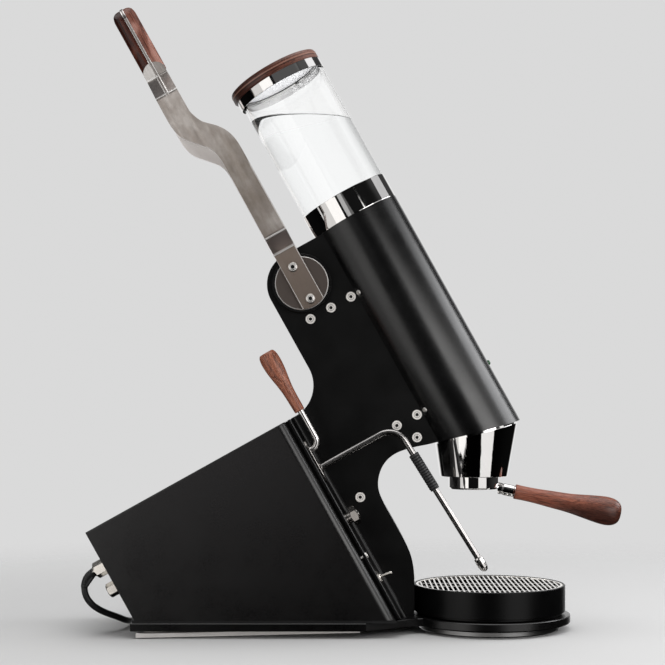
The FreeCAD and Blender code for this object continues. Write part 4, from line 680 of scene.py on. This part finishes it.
def turn_at(t):
    for (t0, r0, z0), (t1, r1, z1) in zip(TURN, TURN[1:]):
        if t <= t1:
            f = (t - t0) / (t1 - t0)
            f = f * f * (3 - 2 * f)
            return r0 + (r1 - r0) * f, z0 + (z1 - z0) * f
    return TURN[-1][1:]


STEP = 17.0                      # degrees between the coil's points
t = 22.0
while t < 1884:
    r, z = turn_at(t)
    r /= 0.75 + 0.25 * math.cos(math.radians(STEP))
    a = math.radians(t)
    wob = 0.25 * math.sin(t * 0.031 + 1.0)
    lead.append(P(CCX - (r + wob) * math.cos(a), CCY + (r + wob) * math.sin(a), z))
    t += STEP
lead += [P(-151.5, 176.9, 23.6), P(-143.5, 176.9, 21.2), P(-136.5, 176.6, 19.2), P(-130.4, 176.5, 18.8)]

cu = bpy.data.curves.new("mains_lead", "CURVE")
cu.dimensions = "3D"
sp = cu.splines.new("NURBS")
sp.points.add(len(lead) - 1)
for pt, co in zip(sp.points, lead):
    pt.co = (co.x, co.y, co.z, 1.0)
sp.order_u = 3
sp.use_endpoint_u = True
sp.resolution_u = 6
cu.resolution_u = 6
cord = link(bpy.data.objects.new("mains_lead", cu))
bpy.context.view_layer.update()
line = bpy.data.meshes.new_from_object(cord.evaluated_get(bpy.context.evaluated_depsgraph_get()))
PATH = [v.co.copy() for v in line.vertices]
bpy.data.meshes.remove(line)
cu.bevel_depth = CORD_D / 2 * MM
cu.bevel_resolution = 6
cu.use_fill_caps = True
cu.materials.append(cord_rubber)
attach(cord, "chassis")
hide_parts("power_cord", "cord_coil")


def along(path, dist):
    """point and direction at a distance along the lead"""
    left = dist
    for a, b in zip(path, path[1:]):
        d = (b - a).length
        if left <= d and d > 0:
            return a + (b - a) * (left / d), (b - a).normalized()
        left -= d
    return path[-1], (path[-1] - path[-2]).normalized()


def sleeve(name, path, profile, material, seg=40):
    """a sleeve round the lead: profile is (distance along, radius) in mm, closed at both ends on the lead"""
    verts, faces = [], []
    side = Vector((0, 1, 0))
    for s, r in profile:
        c, d = along(path, s * MM)
        e1 = (side - d * side.dot(d)).normalized()
        e2 = d.cross(e1)
        for i in range(seg):
            a = 2 * math.pi * i / seg
            verts.append(c + (e1 * math.cos(a) + e2 * math.sin(a)) * r * MM)
    n = len(profile)
    for j in range(n):
        k = (j + 1) % n
        for i in range(seg):
            i2 = (i + 1) % seg
            faces.append((j * seg + i, j * seg + i2, k * seg + i2, k * seg + i))
    return mesh_object(name, verts, faces, material)


# tapered bend relief, with shallow rings moulded in, held in the gland's cone
prof = [(1.0, 3.3), (1.0, 4.45), (4.2, 4.60)]
s = 5.0
while s < 21.0:
    r = 4.62 - (s - 5.0) * 0.045
    prof += [(s, r), (s + 0.55, r - 0.05), (s + 0.75, r - 0.26), (s + 1.30, r - 0.28), (s + 1.50, r - 0.08)]
    s += 2.1
prof += [(22.6, 3.82), (23.4, 3.72), (23.8, 3.58), (23.8, 3.3)]
relief = sleeve("bend_relief", PATH, prof, plug_plastic)
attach(relief, "chassis")

# wire tie round the wound turns
tie_v, tie_f = [], []
TIE_A = math.radians(222)
radial = Vector((-math.cos(TIE_A), math.sin(TIE_A), 0))
tangent = Vector((math.sin(TIE_A), math.cos(TIE_A), 0))
cc = P(CCX, CCY, 0)


def tie_loop(grow, corner):
    """rounded rectangle round the bundle, in (radius, height)"""
    r0, r1, z0, z1 = 31.2 - grow, 45.8 + grow, 0.45 - grow * 0.5, 21.2 + grow
    pts = []
    for cx, cz, a0 in ((r1 - corner, z1 - corner, 0), (r0 + corner, z1 - corner, 90), (r0 + corner, z0 + corner, 180), (r1 - corner, z0 + corner, 270)):
        for k in range(7):
            a = math.radians(a0 + 15 * k)
            pts.append((cx + corner * math.cos(a), cz + corner * math.sin(a)))
    return pts


outer, inner = tie_loop(0.7, 3.9), tie_loop(0.0, 3.3)
NT = len(outer)
for w, loop in ((-2.6, inner), (-2.6, outer), (-2.0, [(r + (0.25 if r > 38 else -0.25), z) for r, z in outer]), (2.0, [(r + (0.25 if r > 38 else -0.25), z) for r, z in outer]), (2.6, outer), (2.6, inner)):
    for r, z in loop:
        tie_v.append(cc + radial * (r * MM) + tangent * (w * MM) + Vector((0, 0, max(z, 0.08) * MM)))
for j in range(6):
    k = (j + 1) % 6
    for i in range(NT):
        i2 = (i + 1) % NT
        tie_f.append((j * NT + i, j * NT + i2, k * NT + i2, k * NT + i))
tie = mesh_object("cord_tie", tie_v, tie_f, plug_plastic)
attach(tie, "chassis")

# ---------------------------------------------------------------- water in the tube
P0 = -0.7                        # the tube's middle, across the barrel
WATER_R, WATER_Z, WATER_Q0 = 45.78, 555.5, 8.2
SEG = 160


def surface_q(p, z):
    return (z - AZ - p * ST) / CT


wv, wf = [], []
rows = [0.0, 0.04, 0.25, 0.5, 0.75, 0.94]


def rim_lift(rho, a):
    """how far the water climbs near the wall, mm"""
    gap = max(0.0, WATER_R - rho)
    return 2.3 * math.exp(-gap / 1.15) * (0.5 - 0.5 * math.sin(a)) ** 1.5


for f in rows:
    for i in range(SEG):
        a = 2 * math.pi * i / SEG
        p, y = P0 + WATER_R * math.cos(a), WATER_R * math.sin(a)
        q1 = surface_q(p, WATER_Z) + rim_lift(WATER_R, a)
        wv.append(W(p, y, WATER_Q0 + (q1 - WATER_Q0) * f))
for rho in (WATER_R, 45.45, 44.9, 44.1, 43.0, 41.5, 39.0, 34.0, 27.0, 18.0, 9.0):
    for i in range(SEG):
        a = 2 * math.pi * i / SEG
        p, y = P0 + rho * math.cos(a), rho * math.sin(a)
        wv.append(W(p, y, surface_q(p, WATER_Z) + rim_lift(rho, a)))
nrow = len(rows) + 11
for j in range(nrow - 1):
    for i in range(SEG):
        i2 = (i + 1) % SEG
        wf.append((j * SEG + i, j * SEG + i2, (j + 1) * SEG + i2, (j + 1) * SEG + i))
wv.append(W(P0, 0, surface_q(P0, WATER_Z)))
last = (nrow - 1) * SEG
for i in range(SEG):
    wf.append((last + i, last + (i + 1) % SEG, len(wv) - 1))
wv.append(W(P0, 0, WATER_Q0))
for i in range(SEG):
    wf.append((i, (i + 1) % SEG, len(wv) - 1))
water = mesh_object("tank_water", wv, wf, tank_water)
water.data.set_sharp_from_angle(angle=math.radians(50))
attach(water, "chassis")


# ---------------------------------------------------------------- floor
def floor_mat():
    m = bpy.data.materials.new("floor")
    m.use_nodes = True
    nt = m.node_tree
    nt.nodes.clear()
    out = nt.nodes.new("ShaderNodeOutputMaterial")
    diff = nt.nodes.new("ShaderNodeBsdfPrincipled")
    diff.inputs["Base Color"].default_value = (0.62, 0.62, 0.62, 1)
    diff.inputs["Roughness"].default_value = 0.9
    diff.inputs["Specular IOR Level"].default_value = 0.0
    clear = nt.nodes.new("ShaderNodeBsdfTransparent")
    mix = nt.nodes.new("ShaderNodeMixShader")
    tc = nt.nodes.new("ShaderNodeTexCoord")
    ln = nt.nodes.new("ShaderNodeVectorMath")
    ln.operation = "LENGTH"
    mr = nt.nodes.new("ShaderNodeMapRange")
    mr.interpolation_type = "SMOOTHSTEP"
    mr.inputs["From Min"].default_value = 0.42
    mr.inputs["From Max"].default_value = 1.18
    nt.links.new(tc.outputs["Object"], ln.inputs[0])
    nt.links.new(ln.outputs["Value"], mr.inputs["Value"])
    nt.links.new(mr.outputs[0], mix.inputs[0])
    nt.links.new(diff.outputs[0], mix.inputs[1])
    nt.links.new(clear.outputs[0], mix.inputs[2])
    nt.links.new(mix.outputs[0], out.inputs[0])
    return m


fv = [Vector((2.0 * math.cos(2 * math.pi * i / 96), 2.0 * math.sin(2 * math.pi * i / 96), 0)) for i in range(96)]
me = bpy.data.meshes.new("floor")
me.from_pydata([tuple(v) for v in fv], [], [tuple(range(96))])
me.materials.append(floor_mat())
floor = link(bpy.data.objects.new("floor", me))
floor.location.z = -0.0002
floor.visible_glossy = False
floor.visible_transmission = False


# ---------------------------------------------------------------- light
def softbox(name, centre, target, w, h, radiance, colour=(1, 1, 1), spread=180.0):
    ld = bpy.data.lights.new(name, "AREA")
    ld.shape = "RECTANGLE"
    ld.size, ld.size_y = w, h
    ld.energy = radiance * math.pi * w * h
    ld.color = colour
    ld.spread = math.radians(spread)
    o = link(bpy.data.objects.new(name, ld))
    o.location = centre
    o.rotation_euler = (Vector(target) - Vector(centre)).to_track_quat("-Z", "Y").to_euler()
    o.visible_camera = False
    o.visible_transmission = False
    return o


def ring_place(az, dist, z):
    """az 0 is towards the camera, positive to the right"""
    a = math.radians(az)
    return (dist * math.sin(a), -dist * math.cos(a), z)


def upright(name, az0, az1, dist, z0, z1, radiance, colour=(1, 1, 1)):
    """a box standing on an arc round the object, between two azimuths and two heights"""
    z = (z0 + z1) / 2
    w = 2 * dist * math.tan(math.radians(az1 - az0) / 2)
    return softbox(name, ring_place((az0 + az1) / 2, dist, z), (0, 0, z), w, z1 - z0, radiance, colour)


def only_on(light, *names):
    """the light falls on these nodes alone, as a flag keeps a card off the rest"""
    c = bpy.data.collections.new(light.name + "_on")
    for n in names:
        c.objects.link(NODES[n])
    light.light_linking.receiver_collection = c


upright("box_left_a", -78, -50, 1.35, -0.40, 0.83, 0.80, (1.0, 0.985, 0.965))
upright("box_left_b", -50, -24, 1.35, -0.40, 0.83, 1.25, (1.0, 0.985, 0.965))
upright("box_right_a", 22, 58, 1.30, -0.60, 0.30, 1.00, (1.0, 0.99, 0.98))
upright("box_right_b", 22, 58, 1.30, 0.30, 0.62, 4.4, (1.0, 0.99, 0.98))
upright("box_right_c", 22, 58, 1.30, 0.62, 0.78, 2.9, (1.0, 0.99, 0.98))
upright("box_right_d", 22, 58, 1.30, 0.78, 0.93, 1.5, (1.0, 0.99, 0.98))
upright("box_between", 58, 84, 1.30, 0.45, 1.00, 1.1, (1.0, 0.99, 0.98))
upright("box_rim_a", 84, 122, 1.30, 0.52, 1.08, 4.6, (0.98, 0.985, 1.0))
upright("box_rim_b", 84, 122, 1.30, 1.08, 1.27, 2.4, (0.98, 0.985, 1.0))
upright("box_rim_c", 84, 122, 1.30, 1.27, 1.52, 0.60, (0.98, 0.985, 1.0))
upright("box_rim_d", 84, 122, 1.30, 1.52, 1.95, 1.0, (0.98, 0.985, 1.0))
upright("box_low_a", -19, -10, 1.60, 0.36, 0.58, 0.50)
upright("box_low_b", -10, -2, 1.60, 0.36, 0.58, 0.14)
HANDLED = ("lever_arm_near", "lever_arm_far", "lever_tang", "lever_grip_front", "lever_screws", "steam_lever_knob")
fill_low = softbox("box_fill_low", (-0.42, -1.65, 0.73), (-0.42, 0, 0.73), 0.80, 0.26, 1.6, (1.0, 0.985, 0.97))
only_on(fill_low, *HANDLED)
fill_high = softbox("box_fill_high", (-0.42, -1.65, 1.11), (-0.42, 0, 1.11), 0.80, 0.50, 0.9, (1.0, 0.985, 0.97))
only_on(fill_high, *HANDLED)
card = softbox("box_card", (-0.50, -1.65, 0.21), (-0.50, 0, 0.21), 0.95, 0.50, 0.55, (1.0, 0.95, 0.96))
only_on(card, "housing_shell")
foot_card = softbox("box_foot", (-0.20, -1.65, 0.10), (-0.20, 0, 0.10), 1.4, 0.50, 1.2, (1.0, 0.97, 0.95))
only_on(foot_card, "metal_feet", "relief_fitting", "chassis_screws", "toggle_lever", "toggle_body", "cord_gland", "drain_plug")
cap_card = softbox("box_cap", (0.30, -1.50, 1.15), (-0.08, 0, 0.63), 1.9, 1.3, 0.09)
only_on(cap_card, "tank_lid_cap")


def world():
    w = bpy.data.worlds.new("studio")
    scene.world = w
    w.use_nodes = True
    nt = w.node_tree
    nt.nodes.clear()
    out = nt.nodes.new("ShaderNodeOutputWorld")
    tc = nt.nodes.new("ShaderNodeTexCoord")
    sep = nt.nodes.new("ShaderNodeSeparateXYZ")
    nt.links.new(tc.outputs["Generated"], sep.inputs[0])

    def m(op, a, b=0.0):
        n = nt.nodes.new("ShaderNodeMath")
        n.operation = op
        for i, v in ((0, a), (1, b)):
            if isinstance(v, bpy.types.NodeSocket):
                nt.links.new(v, n.inputs[i])
            else:
                n.inputs[i].default_value = v
        return n.outputs[0]

    def step(v, a, b, lo=0.0, hi=1.0):
        n = nt.nodes.new("ShaderNodeMapRange")
        n.interpolation_type = "SMOOTHSTEP"
        nt.links.new(v, n.inputs["Value"])
        for key, x in zip(("From Min", "From Max", "To Min", "To Max"), (a, b, lo, hi)):
            n.inputs[key].default_value = x
        return n.outputs[0]

    x, y, z = sep.outputs
    top = step(z, 0.70, 0.94, 0.0, 2.3)               # overhead diffuser
    back = step(y, 0.80, 0.93, 0.0, 0.95)             # white paper behind
    below = step(z, -0.02, -0.12, 1.0, 0.06)          # dark under the table's edge
    base = m("MULTIPLY", step(y, -0.6, 0.5, 0.008, 0.05), below)
    total = m("MAXIMUM", m("MAXIMUM", m("MAXIMUM", top, back), base), step(z, 0.52, 0.62, 0.0, 0.09))
    lp = nt.nodes.new("ShaderNodeLightPath")

    def backdrop(strength):
        n = nt.nodes.new("ShaderNodeBackground")
        n.inputs["Color"].default_value = (1, 1, 1, 1)
        if isinstance(strength, bpy.types.NodeSocket):
            nt.links.new(strength, n.inputs["Strength"])
        else:
            n.inputs["Strength"].default_value = strength
        return n.outputs[0]

    def choose(fac, a, b):
        n = nt.nodes.new("ShaderNodeMixShader")
        nt.links.new(fac, n.inputs[0])
        nt.links.new(a, n.inputs[1])
        nt.links.new(b, n.inputs[2])
        return n.outputs[0]

    through = step(x, -0.66, -0.36, 0.68, 0.97)       # the paper as the tank shows it
    inside = m("ADD", through, m("MULTIPLY", m("MINIMUM", lp.outputs["Diffuse Depth"], 1.0), 1.9))
    seen = choose(lp.outputs["Is Transmission Ray"], backdrop(total), backdrop(inside))
    nt.links.new(choose(lp.outputs["Is Camera Ray"], seen, backdrop(0.70)), out.inputs[0])


world()
